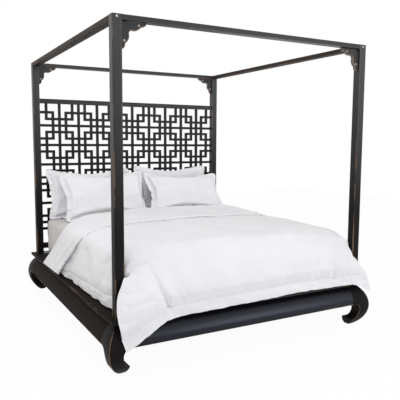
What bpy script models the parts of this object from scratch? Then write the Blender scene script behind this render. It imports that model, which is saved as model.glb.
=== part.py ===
"""Four-poster bed with a lattice headboard, bulging aprons and inward-curling hoof legs.

Metres, +Z up, X across the bed, the foot at -Y and the head at +Y.
"""

import math

import bmesh
import bpy
from mathutils import Matrix, Vector
from mathutils.bvhtree import BVHTree

# Clearance left between pieces that touch, and in every joint
GAP = 0.0003

# The mattress that the bed is made for, and the room around it inside the posts
MATTRESS_WIDTH = 1.830
MATTRESS_LENGTH = 2.030
MATTRESS_HEIGHT = 0.343
MATTRESS_EDGE_RADIUS = 0.050
SIDE_ROOM = 0.025
HEAD_ROOM = 0.017
FOOT_ROOM = 0.083

# Posts, which stand to the full height of the bed
BED_HEIGHT = 2.160
POST_SIDE = 0.060
POST_TENON_SIDE = 0.034
POST_TENON_DEPTH = 0.070

# Deck: the mitred frame that the posts stand on
DECK_HEIGHT = 0.352
DECK_THICKNESS = 0.024
DECK_OVERHANG = 0.040
DECK_RAIL_WIDTH = 0.150

# The bulge that aprons and legs share, against the deck's edge: past it half way up, behind it at both ends
BULGE_PROUD = 0.028
BULGE_DRAW_IN = 0.0615
BULGE_STEPS = 7

# Legs: depths behind the deck's edge of the inner face, and the heights they belong to
LEG_BLOCK_DEPTH = 0.135
LEG_LEDGE_DEPTH = 0.112
LEG_THROAT_DEPTH = 0.067
LEG_THROAT_DROP = 0.048
LEG_TOE_DEPTH = 0.118
LEG_TOE_HEIGHT = 0.056
LEG_SOLE_DEPTH = 0.098
LEG_LEDGE_SLOPE = 0.001
LEG_CURVE_STEPS = 5

# Aprons
APRON_HEIGHT = 0.144
APRON_THICKNESS = 0.038
APRON_TENON_LENGTH = 0.025
APRON_TENON_THICKNESS = 0.010
APRON_TENON_HEIGHT = 0.036
APRON_TENON_RISE = 0.048

# Canopy rails
CANOPY_RAIL_HEIGHT = 0.032
END_RAIL_TENON_LENGTH = 0.020
END_RAIL_TENON_THICKNESS = 0.016
END_RAIL_TENON_HEIGHT = 0.018
SIDE_RAIL_TENON_LENGTH = 0.010
SIDE_RAIL_TENON_WIDTH = 0.024
SIDE_RAIL_TENON_HEIGHT = 0.018

# Canopy bolts and the cross nuts that they screw into
BOLT_DIAMETER = 0.008
BOLT_HEAD_DIAMETER = 0.015
BOLT_HEAD_RISE = 0.004
BOLT_REACH_IN_RAIL = 0.055
NUT_DIAMETER = 0.014
NUT_LENGTH = 0.020
NUT_SETBACK = 0.040
ROUND_SIDES = 16
HEAD_RINGS = 4

# Spandrel brackets: the outline's cusps as (out from the post, down from the rail)
BRACKET_THICKNESS = 0.024
BRACKET_REACH = 0.160
BRACKET_TIP = 0.012
BRACKET_OUTER_CUSP = (0.129, 0.026)
BRACKET_INNER_CUSP = (0.068, 0.050)
BRACKET_TIP_BULGE = 0.005
BRACKET_LOBE_BULGE = 0.011
BRACKET_HOLLOW = 0.004
BRACKET_ARC_STEPS = 4
BRACKET_TONGUE_THICKNESS = 0.008
BRACKET_TONGUE_DEPTH = 0.006
BRACKET_TONGUE_TAPER = 0.020

# Headboard
HEADBOARD_RISE = 1.480
HEAD_RAIL_DEPTH = 0.040
HEAD_TOP_RAIL_HEIGHT = 0.043
HEAD_LOW_RAIL_RISE = 0.044
HEAD_LOW_RAIL_HEIGHT = 0.051
HEAD_RAIL_TENON_LENGTH = 0.025
HEAD_RAIL_TENON_THICKNESS = 0.018
HEAD_RAIL_TENON_HEIGHT = 0.030

# Lattice: a square fret on a unit grid, counted across and down
LATTICE_COLUMNS = 30
LATTICE_ROWS = 21.58
LATTICE_FIRST_ROW = 0.33
LATTICE_STEP = 3
LATTICE_BAR_WIDTH = 0.025
LATTICE_THICKNESS = 0.022
LATTICE_TENON = 0.010

# Slats and what carries them
SLAT_COUNT = 11
SLAT_WIDTH = 0.100
LEDGER_WIDTH = 0.060
LEDGER_HEIGHT = 0.045
LEDGER_BEARING = 0.040
LEDGER_END_ROOM = 0.015
BEAM_WIDTH = 0.060
BEAM_HEIGHT = 0.090
BEAM_BEARING = 0.040
CENTRE_LEG_COUNT = 3
CENTRE_LEG_SIDE = 0.050
CENTRE_LEG_TENON_SIDE = 0.030
CENTRE_LEG_TENON_LENGTH = 0.030

# Pillows
PILLOW_WIDTH = 0.850
PILLOW_HEIGHT = 0.500
PILLOW_THICKNESS = 0.170
PILLOW_FLANGE = 0.045
PILLOW_FLANGE_THICKNESS = 0.008
PILLOW_DRAW_IN = 0.028
PILLOW_COLUMNS = 14
PILLOW_ROWS = 9
# Each pillow's middle across the bed, and its lean back from upright in degrees
REAR_PILLOWS = {"left": (-0.492, 21), "right": (0.402, 15)}
FRONT_PILLOWS = {"left": (-0.400, 32), "right": (0.456, 39)}

# Duvet
DUVET_LOFT = 0.075
DUVET_HEM_THICKNESS = 0.010
DUVET_FOLD_LOFT = 0.020
DUVET_SIDE_FLARE = 0.110
DUVET_POST_ROOM = 0.014
DUVET_FOOT_FLARE = 0.040
DUVET_FOOT_HEM = 0.014
DUVET_WAVES = 5
DUVET_WAVE_DEPTH = 0.008
DUVET_COLUMNS = 26
DUVET_ROWS = 22
# The fold at the head keeps clear of the pillows; its free edge lies this much nearer the foot
DUVET_PILLOW_ROOM = 0.008
DUVET_TURN_BACK = 0.628
# On each side: how far toward the head the fold and the free edge lie at the side hem and at the shoulder,
# against the bed's middle; the foot corner's spread past the post's inner face in front of the post, at deck
# level and at its tip; and the foot hem's drop below the deck at the shoulder and at the tip
DUVET_SIDES = {
    "left": {
        "fold": (0.092, -0.368),
        "free_edge": (0.240, -0.280),
        "spread": (0.046, 0.092, 0.024),
        "drop": (0.055, 0.190),
    },
    "right": {
        "fold": (0.012, -0.018),
        "free_edge": (0.040, 0.020),
        "spread": (0.046, 0.105, 0.118),
        "drop": (0.000, 0.080),
    },
}

# Sizes that follow from those above
CLEAR_WIDTH = MATTRESS_WIDTH + 2 * SIDE_ROOM
CLEAR_LENGTH = MATTRESS_LENGTH + HEAD_ROOM + FOOT_ROOM
INNER_X = CLEAR_WIDTH / 2
INNER_Y = CLEAR_LENGTH / 2
POST_X = INNER_X + POST_SIDE / 2
POST_Y = INNER_Y + POST_SIDE / 2
DECK_X = INNER_X + POST_SIDE + DECK_OVERHANG
DECK_Y = INNER_Y + POST_SIDE + DECK_OVERHANG
DECK_UNDER = DECK_HEIGHT - DECK_THICKNESS
APRON_BOTTOM = DECK_UNDER - APRON_HEIGHT
APRON_TENON_LEVEL = APRON_BOTTOM + APRON_TENON_RISE
LEG_THROAT_HEIGHT = APRON_BOTTOM - LEG_THROAT_DROP
BULGE_HEIGHT = DECK_UNDER / 2
BULGE_DEPTH = BULGE_PROUD + BULGE_DRAW_IN
BULGE_RADIUS = (BULGE_HEIGHT**2 + BULGE_DEPTH**2) / (2 * BULGE_DEPTH)
MATTRESS_TOP = DECK_HEIGHT + GAP + MATTRESS_HEIGHT
CANOPY_UNDER = BED_HEIGHT - CANOPY_RAIL_HEIGHT
CANOPY_MIDDLE = BED_HEIGHT - CANOPY_RAIL_HEIGHT / 2
SIDES = {"left": -1, "right": 1}
ENDS = {"front": -1, "rear": 1}

# How far a cutter stands out of the face that it cuts into
CUT_PROUD = 0.004
BORE_ROOM = 0.0005

# Finishes: colour, roughness, metallic
LACQUER = ((0.011, 0.010, 0.010), 0.38, 0.0)
BARE_WOOD = ((0.430, 0.290, 0.170), 0.65, 0.0)
LINEN = ((0.800, 0.800, 0.820), 0.85, 0.0)
FITTED_SHEET = ((0.460, 0.410, 0.380), 0.85, 0.0)
STEEL = ((0.700, 0.690, 0.670), 0.25, 1.0)


for old in list(bpy.data.objects):
    bpy.data.objects.remove(old, do_unlink=True)
bed = bpy.data.objects.new("bed", None)
bpy.context.scene.collection.objects.link(bed)


def material_for(name, finish):
    colour, roughness, metallic = finish
    material = bpy.data.materials.new(name)
    material.use_nodes = True
    shader = material.node_tree.nodes["Principled BSDF"]
    shader.inputs["Base Color"].default_value = (*colour, 1)
    shader.inputs["Roughness"].default_value = roughness
    shader.inputs["Metallic"].default_value = metallic
    return material


def add_piece(name, shape, finish, smooth=False):
    """Makes a bmesh into a named piece of the bed."""
    bmesh.ops.recalc_face_normals(shape, faces=shape.faces)
    mesh = bpy.data.meshes.new(name)
    shape.to_mesh(mesh)
    shape.free()
    if smooth:
        mesh.shade_smooth()
        mesh.set_sharp_from_angle(angle=math.radians(40))
    mesh.materials.append(material_for(name, finish))
    piece = bpy.data.objects.new(name, mesh)
    bpy.context.scene.collection.objects.link(piece)
    piece.parent = bed
    return piece


def cut(piece, label, shape, operation="DIFFERENCE"):
    """Cuts a shape out of a piece, or joins it on, with a hidden helper and a live Boolean."""
    bmesh.ops.recalc_face_normals(shape, faces=shape.faces)
    mesh = bpy.data.meshes.new(f"{piece.name}_{label}")
    shape.to_mesh(mesh)
    shape.free()
    cutter = bpy.data.objects.new(mesh.name, mesh)
    bpy.context.scene.collection.objects.link(cutter)
    cutter.parent = bed
    cutter.hide_render = True
    cutter.display_type = "WIRE"
    boolean = piece.modifiers.new(label, "BOOLEAN")
    boolean.operation = operation
    boolean.solver = "EXACT"
    boolean.object = cutter


def loft(rings):
    """A closed body through rings of one count, capped at both ends."""
    shape = bmesh.new()
    loops = [[shape.verts.new(point) for point in ring] for ring in rings]
    for near, far in zip(loops, loops[1:]):
        for i in range(len(near)):
            shape.faces.new((near[i - 1], near[i], far[i], far[i - 1]))
    shape.faces.new(loops[0])
    shape.faces.new(loops[-1])
    return shape


def around(middle, width):
    return (middle - width / 2, middle + width / 2)


def bar(axis, stations):
    """A bar along an axis, through stations of (place, span, span) over the other two axes."""
    first, second = [k for k in range(3) if k != axis]
    rings = []
    for place, across, up in stations:
        ring = []
        for i, j in ((0, 0), (1, 0), (1, 1), (0, 1)):
            point = [place, place, place]
            point[first] = across[i]
            point[second] = up[j]
            ring.append(point)
        rings.append(ring)
    return loft(rings)


def tenoned_bar(axis, half_length, section, tenon_length, tenon):
    """A bar with a tenon on each end; section and tenon are two spans each."""
    tip = half_length + tenon_length
    ends = [(tip, tenon), (half_length, tenon), (half_length, section)]
    stations = [(-place, *spans) for place, spans in ends]
    stations += [(place, *spans) for place, spans in reversed(ends)]
    return bar(axis, stations)


def blocks(boxes):
    """Separate boxes in one shape, each given as three spans."""
    shape = bmesh.new()
    for spans in boxes:
        lows, highs = zip(*(sorted(span) for span in spans))
        size = [high - low for low, high in zip(lows, highs)]
        middle = [(high + low) / 2 for low, high in zip(lows, highs)]
        place = Matrix.Translation(middle) @ Matrix.Diagonal((*size, 1))
        bmesh.ops.create_cube(shape, size=1, matrix=place)
    return shape


def circle(axis, place, centre, radius):
    """A ring of points round an axis; centre is given over the other two axes."""
    first, second = [k for k in range(3) if k != axis]
    ring = []
    for i in range(ROUND_SIDES):
        turn = 2 * math.pi * i / ROUND_SIDES
        point = [place, place, place]
        point[first] = centre[0] + radius * math.cos(turn)
        point[second] = centre[1] + radius * math.sin(turn)
        ring.append(point)
    return ring


def rod(axis, span, centre, radius):
    return loft([circle(axis, place, centre, radius) for place in span])


def mix(near, far, share):
    return near + (far - near) * share


def bulge(height):
    """How far the outer face of an apron or a leg stands past the deck's edge."""
    return BULGE_PROUD - BULGE_RADIUS + math.sqrt(BULGE_RADIUS**2 - (height - BULGE_HEIGHT) ** 2)


def leg_levels():
    """Heights down a leg, each with the depth of its inner face behind the deck's edge."""
    top = DECK_UNDER - GAP
    levels = []
    for i in range(BULGE_STEPS + 1):
        levels.append((mix(top, APRON_BOTTOM, i / BULGE_STEPS), LEG_BLOCK_DEPTH))
    ledge = APRON_BOTTOM - LEG_LEDGE_SLOPE
    turns = [math.pi / 2 * i / LEG_CURVE_STEPS for i in range(LEG_CURVE_STEPS + 1)]
    for turn in turns:
        depth = mix(LEG_LEDGE_DEPTH, LEG_THROAT_DEPTH, math.sin(turn))
        levels.append((mix(LEG_THROAT_HEIGHT, ledge, math.cos(turn)), depth))
    for turn in turns[1:]:
        depth = mix(LEG_TOE_DEPTH, LEG_THROAT_DEPTH, math.cos(turn))
        levels.append((mix(LEG_THROAT_HEIGHT, LEG_TOE_HEIGHT, math.sin(turn)), depth))
    for turn in turns[1:]:
        depth = mix(LEG_SOLE_DEPTH, LEG_TOE_DEPTH, math.cos(turn))
        levels.append((LEG_TOE_HEIGHT * (1 - math.sin(turn)), depth))
    return levels


def apron_tenon_offset():
    """The middle of an apron's thickness at its tenon's level, from the deck's edge."""
    return bulge(APRON_TENON_LEVEL) - APRON_THICKNESS / 2


def add_leg(side, end):
    x = SIDES[side]
    y = ENDS[end]
    stations = []
    for height, depth in leg_levels():
        reach = bulge(height)
        across = (x * (DECK_X - depth), x * (DECK_X + reach))
        along = (y * (DECK_Y - depth), y * (DECK_Y + reach))
        stations.append((height, across, along))
    leg = add_piece(f"leg_{end}_{side}", bar(2, stations), LACQUER)

    tenon = POST_TENON_SIDE + 2 * GAP
    floor = DECK_UNDER - POST_TENON_DEPTH - GAP
    post_mortise = (
        around(x * POST_X, tenon),
        around(y * POST_Y, tenon),
        (floor, DECK_UNDER + CUT_PROUD),
    )
    thick = APRON_TENON_THICKNESS + 2 * GAP
    level = around(APRON_TENON_LEVEL, APRON_TENON_HEIGHT + 2 * GAP)
    offset = apron_tenon_offset()
    face_x = DECK_X - LEG_BLOCK_DEPTH
    face_y = DECK_Y - LEG_BLOCK_DEPTH
    end_mortise = (
        (x * (face_x - CUT_PROUD), x * (face_x + APRON_TENON_LENGTH + GAP)),
        around(y * (DECK_Y + offset), thick),
        level,
    )
    side_mortise = (
        around(x * (DECK_X + offset), thick),
        (y * (face_y - CUT_PROUD), y * (face_y + APRON_TENON_LENGTH + GAP)),
        level,
    )
    cut(leg, "mortises", blocks([post_mortise, end_mortise, side_mortise]))


def apron_section():
    """The apron's outline as (offset from the deck's edge, height), outer face first."""
    top = DECK_UNDER - GAP
    heights = [mix(APRON_BOTTOM, top, i / BULGE_STEPS) for i in range(BULGE_STEPS + 1)]
    outer = [(bulge(height), height) for height in heights]
    inner = [(bulge(height) - APRON_THICKNESS, height) for height in reversed(heights)]
    return outer + inner


def add_apron(name, axis, sign, edge, half_length):
    """An apron along X (axis 0) or Y (axis 1), on the side of the bed that sign gives."""
    rings = []
    for place in (-half_length, half_length):
        if axis == 0:
            rings.append([(place, sign * (edge + offset), height) for offset, height in apron_section()])
        else:
            rings.append([(sign * (edge + offset), place, height) for offset, height in apron_section()])
    apron = add_piece(name, loft(rings), LACQUER)
    tip = half_length + APRON_TENON_LENGTH
    along = (-tip, tip)
    across = around(sign * (edge + apron_tenon_offset()), APRON_TENON_THICKNESS)
    level = around(APRON_TENON_LEVEL, APRON_TENON_HEIGHT)
    spans = (along, across, level) if axis == 0 else (across, along, level)
    cut(apron, "tenons", blocks([spans]), "UNION")


def add_deck_rail(name, axis, sign, half_along, half_across, post_along, post_across):
    """A mitred deck rail, with half of each corner's post hole cut into its mitres."""
    half_hole = POST_TENON_SIDE / 2 + GAP
    corner = [
        (half_along - GAP, half_across),
        (post_along + half_hole - GAP, post_across + half_hole),
        (post_along - half_hole - GAP, post_across + half_hole),
        (post_along - half_hole - GAP, post_across - half_hole),
        (half_along - DECK_RAIL_WIDTH - GAP, half_across - DECK_RAIL_WIDTH),
    ]
    outline = corner + [(-along, across) for along, across in reversed(corner)]
    rings = []
    for height in (DECK_UNDER, DECK_HEIGHT):
        if axis == 0:
            rings.append([(along, sign * across, height) for along, across in outline])
        else:
            rings.append([(sign * across, along, height) for along, across in outline])
    add_piece(name, loft(rings), LACQUER)


def add_platform():
    for end in ENDS:
        for side in SIDES:
            add_leg(side, end)
    block_x = DECK_X - LEG_BLOCK_DEPTH - GAP
    block_y = DECK_Y - LEG_BLOCK_DEPTH - GAP
    for end, y in ENDS.items():
        add_apron(f"apron_{end}", 0, y, DECK_Y, block_x)
        add_deck_rail(f"deck_rail_{end}", 0, y, DECK_X, DECK_Y, POST_X, POST_Y)
    for side, x in SIDES.items():
        add_apron(f"apron_{side}", 1, x, DECK_X, block_y)
        add_deck_rail(f"deck_rail_{side}", 1, x, DECK_Y, DECK_X, POST_Y, POST_X)


def lattice_place(column, row):
    """The middle of a lattice line: X from its column, height from its row."""
    low, high = lattice_opening()
    across = -INNER_X + CLEAR_WIDTH * column / LATTICE_COLUMNS
    return across, high - (high - low) * (row + LATTICE_FIRST_ROW) / LATTICE_ROWS


def lattice_opening():
    low = DECK_HEIGHT + HEAD_LOW_RAIL_RISE + HEAD_LOW_RAIL_HEIGHT
    return low, DECK_HEIGHT + HEADBOARD_RISE - HEAD_TOP_RAIL_HEIGHT


def full_columns():
    return range(LATTICE_STEP, LATTICE_COLUMNS, LATTICE_STEP)


def full_rows():
    last = LATTICE_ROWS - LATTICE_FIRST_ROW - 1
    return [row for row in range(LATTICE_STEP, math.ceil(LATTICE_ROWS), LATTICE_STEP) if row < last]


def add_post(side, end):
    x = SIDES[side]
    y = ENDS[end]
    foot = DECK_HEIGHT + GAP
    tenon = (around(x * POST_X, POST_TENON_SIDE), around(y * POST_Y, POST_TENON_SIDE))
    section = (around(x * POST_X, POST_SIDE), around(y * POST_Y, POST_SIDE))
    stations = [
        (DECK_UNDER - POST_TENON_DEPTH, *tenon),
        (foot, *tenon),
        (foot, *section),
        (BED_HEIGHT, *section),
    ]
    post = add_piece(f"post_{end}_{side}", bar(2, stations), LACQUER)

    def into_side(depth):
        return (x * (INNER_X - CUT_PROUD), x * (INNER_X + depth + GAP))

    def into_end(depth):
        return (y * (INNER_Y - CUT_PROUD), y * (INNER_Y + depth + GAP))

    def across_post(thickness):
        return around(y * POST_Y, thickness + 2 * GAP)

    cuts = [
        (
            into_side(END_RAIL_TENON_LENGTH),
            across_post(END_RAIL_TENON_THICKNESS),
            around(CANOPY_MIDDLE, END_RAIL_TENON_HEIGHT + 2 * GAP),
        ),
        (
            around(x * POST_X, SIDE_RAIL_TENON_WIDTH + 2 * GAP),
            into_end(SIDE_RAIL_TENON_LENGTH),
            around(CANOPY_MIDDLE, SIDE_RAIL_TENON_HEIGHT + 2 * GAP),
        ),
        (
            into_side(BRACKET_TONGUE_DEPTH),
            across_post(BRACKET_TONGUE_THICKNESS),
            (CANOPY_UNDER - BRACKET_REACH - 2 * GAP, CANOPY_UNDER),
        ),
    ]
    if end == "rear":
        for middle in head_rail_levels():
            cuts.append(
                (
                    into_side(HEAD_RAIL_TENON_LENGTH),
                    across_post(HEAD_RAIL_TENON_THICKNESS),
                    around(middle, HEAD_RAIL_TENON_HEIGHT + 2 * GAP),
                )
            )
        for row in full_rows():
            cuts.append(
                (
                    into_side(LATTICE_TENON),
                    across_post(LATTICE_THICKNESS),
                    around(lattice_place(0, row)[1], LATTICE_BAR_WIDTH + 2 * GAP),
                )
            )
    cut(post, "mortises", blocks(cuts))
    bore = (y * (INNER_Y - CUT_PROUD), y * (INNER_Y + POST_SIDE + CUT_PROUD))
    cut(post, "bolt_bore", rod(1, bore, (x * POST_X, CANOPY_MIDDLE), BOLT_DIAMETER / 2 + BORE_ROOM))


def add_canopy():
    height = (CANOPY_UNDER, BED_HEIGHT)
    for end, y in ENDS.items():
        rail = add_piece(
            f"canopy_rail_{end}",
            tenoned_bar(
                0,
                INNER_X - GAP,
                (around(y * POST_Y, POST_SIDE), height),
                END_RAIL_TENON_LENGTH,
                (
                    around(y * POST_Y, END_RAIL_TENON_THICKNESS),
                    around(CANOPY_MIDDLE, END_RAIL_TENON_HEIGHT),
                ),
            ),
            LACQUER,
        )
        grooves = []
        for x in SIDES.values():
            grooves.append(
                (
                    (x * (INNER_X - BRACKET_REACH - 2 * GAP), x * (INNER_X + CUT_PROUD)),
                    around(y * POST_Y, BRACKET_TONGUE_THICKNESS + 2 * GAP),
                    (CANOPY_UNDER - CUT_PROUD, CANOPY_UNDER + BRACKET_TONGUE_DEPTH + GAP),
                )
            )
        cut(rail, "bracket_grooves", blocks(grooves))
    for side, x in SIDES.items():
        rail = add_piece(
            f"canopy_rail_{side}",
            tenoned_bar(
                1,
                INNER_Y - GAP,
                (around(x * POST_X, POST_SIDE), height),
                SIDE_RAIL_TENON_LENGTH,
                (
                    around(x * POST_X, SIDE_RAIL_TENON_WIDTH),
                    around(CANOPY_MIDDLE, SIDE_RAIL_TENON_HEIGHT),
                ),
            ),
            LACQUER,
        )
        for end, y in ENDS.items():
            add_canopy_bolt(rail, side, x, end, y)


def add_canopy_bolt(rail, side, x, end, y):
    """The bolt through a post, its cross nut, and the bores for both in the side rail."""
    centre = (x * POST_X, CANOPY_MIDDLE)
    bolt_end = INNER_Y - BOLT_REACH_IN_RAIL
    bore = (y * (INNER_Y + SIDE_RAIL_TENON_LENGTH + CUT_PROUD), y * (bolt_end - CUT_PROUD))
    cut(rail, f"bolt_bore_{end}", rod(1, bore, centre, BOLT_DIAMETER / 2 + BORE_ROOM))
    nut_place = (x * POST_X, y * (INNER_Y - NUT_SETBACK))
    nut_low, nut_high = around(CANOPY_MIDDLE, NUT_LENGTH)
    nut_bore = (CANOPY_UNDER - CUT_PROUD, nut_high + GAP)
    cut(rail, f"nut_bore_{end}", rod(2, nut_bore, nut_place, NUT_DIAMETER / 2 + GAP))

    seat = INNER_Y + POST_SIDE + GAP
    shank = BOLT_DIAMETER / 2
    head = BOLT_HEAD_DIAMETER / 2
    rings = [(bolt_end, shank), (seat, shank), (seat, head)]
    for i in range(1, HEAD_RINGS + 1):
        turn = math.pi / 2 * i / (HEAD_RINGS + 1)
        rings.append((seat + BOLT_HEAD_RISE * math.sin(turn), head * math.cos(turn)))
    shape = loft([circle(1, y * place, centre, radius) for place, radius in rings])
    add_piece(f"canopy_bolt_{end}_{side}", shape, STEEL, smooth=True)

    nut = add_piece(
        f"cross_nut_{end}_{side}",
        rod(2, (nut_low, nut_high), nut_place, NUT_DIAMETER / 2),
        STEEL,
        smooth=True,
    )
    through = around(y * (INNER_Y - NUT_SETBACK), NUT_DIAMETER + 2 * CUT_PROUD)
    cut(nut, "thread_bore", rod(1, through, centre, shank + GAP))


def arc(start, end, rise, steps):
    """Points of a low arc from start to end, without start; a positive rise bows to its left."""
    run = (end[0] - start[0], end[1] - start[1])
    length = math.hypot(*run)
    points = []
    for i in range(1, steps + 1):
        share = i / steps
        lift = rise * 4 * share * (1 - share) / length
        points.append((start[0] + run[0] * share - run[1] * lift, start[1] + run[1] * share + run[0] * lift))
    return points


def bracket_outline(tongue):
    """The bracket's outline as (out from the post, down from the rail), with a tongue this deep."""
    taper = BRACKET_TONGUE_TAPER
    tip = (BRACKET_REACH, BRACKET_TIP)
    half = [(taper, -tongue), (BRACKET_REACH - taper, -tongue), (BRACKET_REACH, 0), tip]
    half += arc(tip, BRACKET_OUTER_CUSP, -BRACKET_TIP_BULGE, BRACKET_ARC_STEPS)
    half += arc(BRACKET_OUTER_CUSP, BRACKET_INNER_CUSP, -BRACKET_LOBE_BULGE, BRACKET_ARC_STEPS)
    mirrored = [(out, down) for down, out in reversed(half)]
    hollow = arc(BRACKET_INNER_CUSP, mirrored[0], BRACKET_HOLLOW, BRACKET_ARC_STEPS)
    return [(0, 0)] + half + hollow[:-1] + mirrored


def add_bracket(side, end):
    x = SIDES[side]
    y = ENDS[end]
    near, far = around(y * POST_Y, BRACKET_THICKNESS)
    tongue_near, tongue_far = around(y * POST_Y, BRACKET_TONGUE_THICKNESS)
    deep = BRACKET_TONGUE_DEPTH
    layers = [
        (near, 0),
        (tongue_near, 0),
        (tongue_near, deep),
        (tongue_far, deep),
        (tongue_far, 0),
        (far, 0),
    ]
    rings = []
    for place, tongue in layers:
        ring = []
        for out, down in bracket_outline(tongue):
            ring.append((x * (INNER_X - GAP - out), place, CANOPY_UNDER - GAP - down))
        rings.append(ring)
    add_piece(f"bracket_{end}_{side}", merged(loft(rings)), LACQUER)


def merged(shape):
    """The shape with coincident points made one."""
    bmesh.ops.remove_doubles(shape, verts=shape.verts, dist=GAP / 10)
    return shape


def head_rail_levels():
    top = DECK_HEIGHT + HEADBOARD_RISE - HEAD_TOP_RAIL_HEIGHT / 2
    low = DECK_HEIGHT + HEAD_LOW_RAIL_RISE + HEAD_LOW_RAIL_HEIGHT / 2
    return top, low


def add_headboard():
    low, high = lattice_opening()
    top_level, low_level = head_rail_levels()
    rails = {
        "headboard_top_rail": (top_level, HEAD_TOP_RAIL_HEIGHT, high, 1),
        "headboard_low_rail": (low_level, HEAD_LOW_RAIL_HEIGHT, low, -1),
    }
    for name, (middle, height, edge, inward) in rails.items():
        rail = add_piece(
            name,
            tenoned_bar(
                0,
                INNER_X - GAP,
                (around(POST_Y, HEAD_RAIL_DEPTH), around(middle, height)),
                HEAD_RAIL_TENON_LENGTH,
                (around(POST_Y, HEAD_RAIL_TENON_THICKNESS), around(middle, HEAD_RAIL_TENON_HEIGHT)),
            ),
            LACQUER,
        )
        housings = []
        for column in full_columns():
            housings.append(
                (
                    around(lattice_place(column, 0)[0], LATTICE_BAR_WIDTH + 2 * GAP),
                    around(POST_Y, LATTICE_THICKNESS + 2 * GAP),
                    (edge - inward * CUT_PROUD, edge + inward * (LATTICE_TENON + GAP)),
                )
            )
        cut(rail, "lattice_housings", blocks(housings))
    add_lattice(low, high)


def lattice_bars(low, high):
    """Every bar of the fret as (left, right, bottom, top), with tenons on the full bars."""
    half = LATTICE_BAR_WIDTH / 2
    edge_x = INNER_X - GAP
    bars = []
    for column in full_columns():
        across = lattice_place(column, 0)[0]
        bars.append((across - half, across + half, low - LATTICE_TENON, high + LATTICE_TENON))
    for row in full_rows():
        level = lattice_place(0, row)[1]
        tip = INNER_X + LATTICE_TENON
        bars.append((-tip, tip, level - half, level + half))
    for column in range(0, LATTICE_COLUMNS + 1, LATTICE_STEP):
        for row in range(0, math.ceil(LATTICE_ROWS), LATTICE_STEP):
            if (column + row) % (2 * LATTICE_STEP):
                continue
            for step in (-1, 1):
                left, level = lattice_place(column - 2, row + step)
                right = lattice_place(column + 2, row + step)[0]
                bars.append((left - half, right + half, level - half, level + half))
                across, top = lattice_place(column + step, row - 2)
                bottom = lattice_place(column + step, row + 2)[1]
                bars.append((across - half, across + half, bottom - half, top + half))
    kept = []
    for left, right, bottom, top in bars:
        if right - left < CLEAR_WIDTH:
            left = max(left, -edge_x)
            right = min(right, edge_x)
        if top - bottom < high - low:
            bottom = max(bottom, low + GAP)
            top = min(top, high - GAP)
        if right > left and top > bottom:
            kept.append((left, right, bottom, top))
    return kept


def add_lattice(low, high):
    """One flat fret: every cell that a bar covers, drawn out to the lattice's thickness."""
    bars = [tuple(round(value, 6) for value in span) for span in lattice_bars(low, high)]
    columns = sorted({value for span in bars for value in span[:2]})
    rows = sorted({value for span in bars for value in span[2:]})
    column_of = {value: i for i, value in enumerate(columns)}
    row_of = {value: i for i, value in enumerate(rows)}
    filled = set()
    for left, right, bottom, top in bars:
        for i in range(column_of[left], column_of[right]):
            for j in range(row_of[bottom], row_of[top]):
                filled.add((i, j))
    shape = bmesh.new()
    corners = {}
    front = POST_Y - LATTICE_THICKNESS / 2

    def corner(i, j):
        if (i, j) not in corners:
            corners[i, j] = shape.verts.new((columns[i], front, rows[j]))
        return corners[i, j]

    for i, j in sorted(filled):
        shape.faces.new((corner(i, j), corner(i + 1, j), corner(i + 1, j + 1), corner(i, j + 1)))
    drawn = bmesh.ops.extrude_face_region(shape, geom=shape.faces[:], use_keep_orig=True)
    moved = [item for item in drawn["geom"] if isinstance(item, bmesh.types.BMVert)]
    bmesh.ops.translate(shape, verts=moved, vec=(0, LATTICE_THICKNESS, 0))
    add_piece("headboard_lattice", shape, LACQUER)


def add_slats():
    open_x = DECK_X - DECK_RAIL_WIDTH
    open_y = DECK_Y - DECK_RAIL_WIDTH
    room = (2 * open_y - SLAT_COUNT * SLAT_WIDTH) / (SLAT_COUNT + 1)
    for i in range(SLAT_COUNT):
        start = -open_y + room + i * (SLAT_WIDTH + room)
        spans = ((-open_x + GAP, open_x - GAP), (start, start + SLAT_WIDTH), (DECK_UNDER, DECK_HEIGHT))
        add_piece(f"slat_{i + 1:02d}", blocks([spans]), BARE_WOOD)
    top = DECK_UNDER - GAP
    reach = DECK_Y - LEG_BLOCK_DEPTH - LEDGER_END_ROOM
    for side, x in SIDES.items():
        inner = open_x - LEDGER_BEARING
        spans = ((x * inner, x * (inner + LEDGER_WIDTH)), (-reach, reach), (top - LEDGER_HEIGHT, top))
        add_piece(f"slat_ledger_{side}", blocks([spans]), BARE_WOOD)

    beam_under = top - BEAM_HEIGHT
    beam_end = open_y + BEAM_BEARING
    spans = (around(0, BEAM_WIDTH), (-beam_end, beam_end), (beam_under, top))
    beam = add_piece("centre_beam", blocks([spans]), BARE_WOOD)
    pitch = 2 * open_y / CENTRE_LEG_COUNT
    mortises = []
    for i in range(CENTRE_LEG_COUNT):
        place = (i - (CENTRE_LEG_COUNT - 1) / 2) * pitch
        shoulder = beam_under - GAP
        full = (around(0, CENTRE_LEG_SIDE), around(place, CENTRE_LEG_SIDE))
        tenon = (around(0, CENTRE_LEG_TENON_SIDE), around(place, CENTRE_LEG_TENON_SIDE))
        stations = [
            (0, *full),
            (shoulder, *full),
            (shoulder, *tenon),
            (shoulder + CENTRE_LEG_TENON_LENGTH, *tenon),
        ]
        add_piece(f"centre_leg_{i + 1}", bar(2, stations), BARE_WOOD)
        room_for_tenon = CENTRE_LEG_TENON_SIDE + 2 * GAP
        mortises.append(
            (
                around(0, room_for_tenon),
                around(place, room_for_tenon),
                (beam_under - CUT_PROUD, beam_under + CENTRE_LEG_TENON_LENGTH + GAP),
            )
        )
    cut(beam, "leg_mortises", blocks(mortises))


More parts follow.
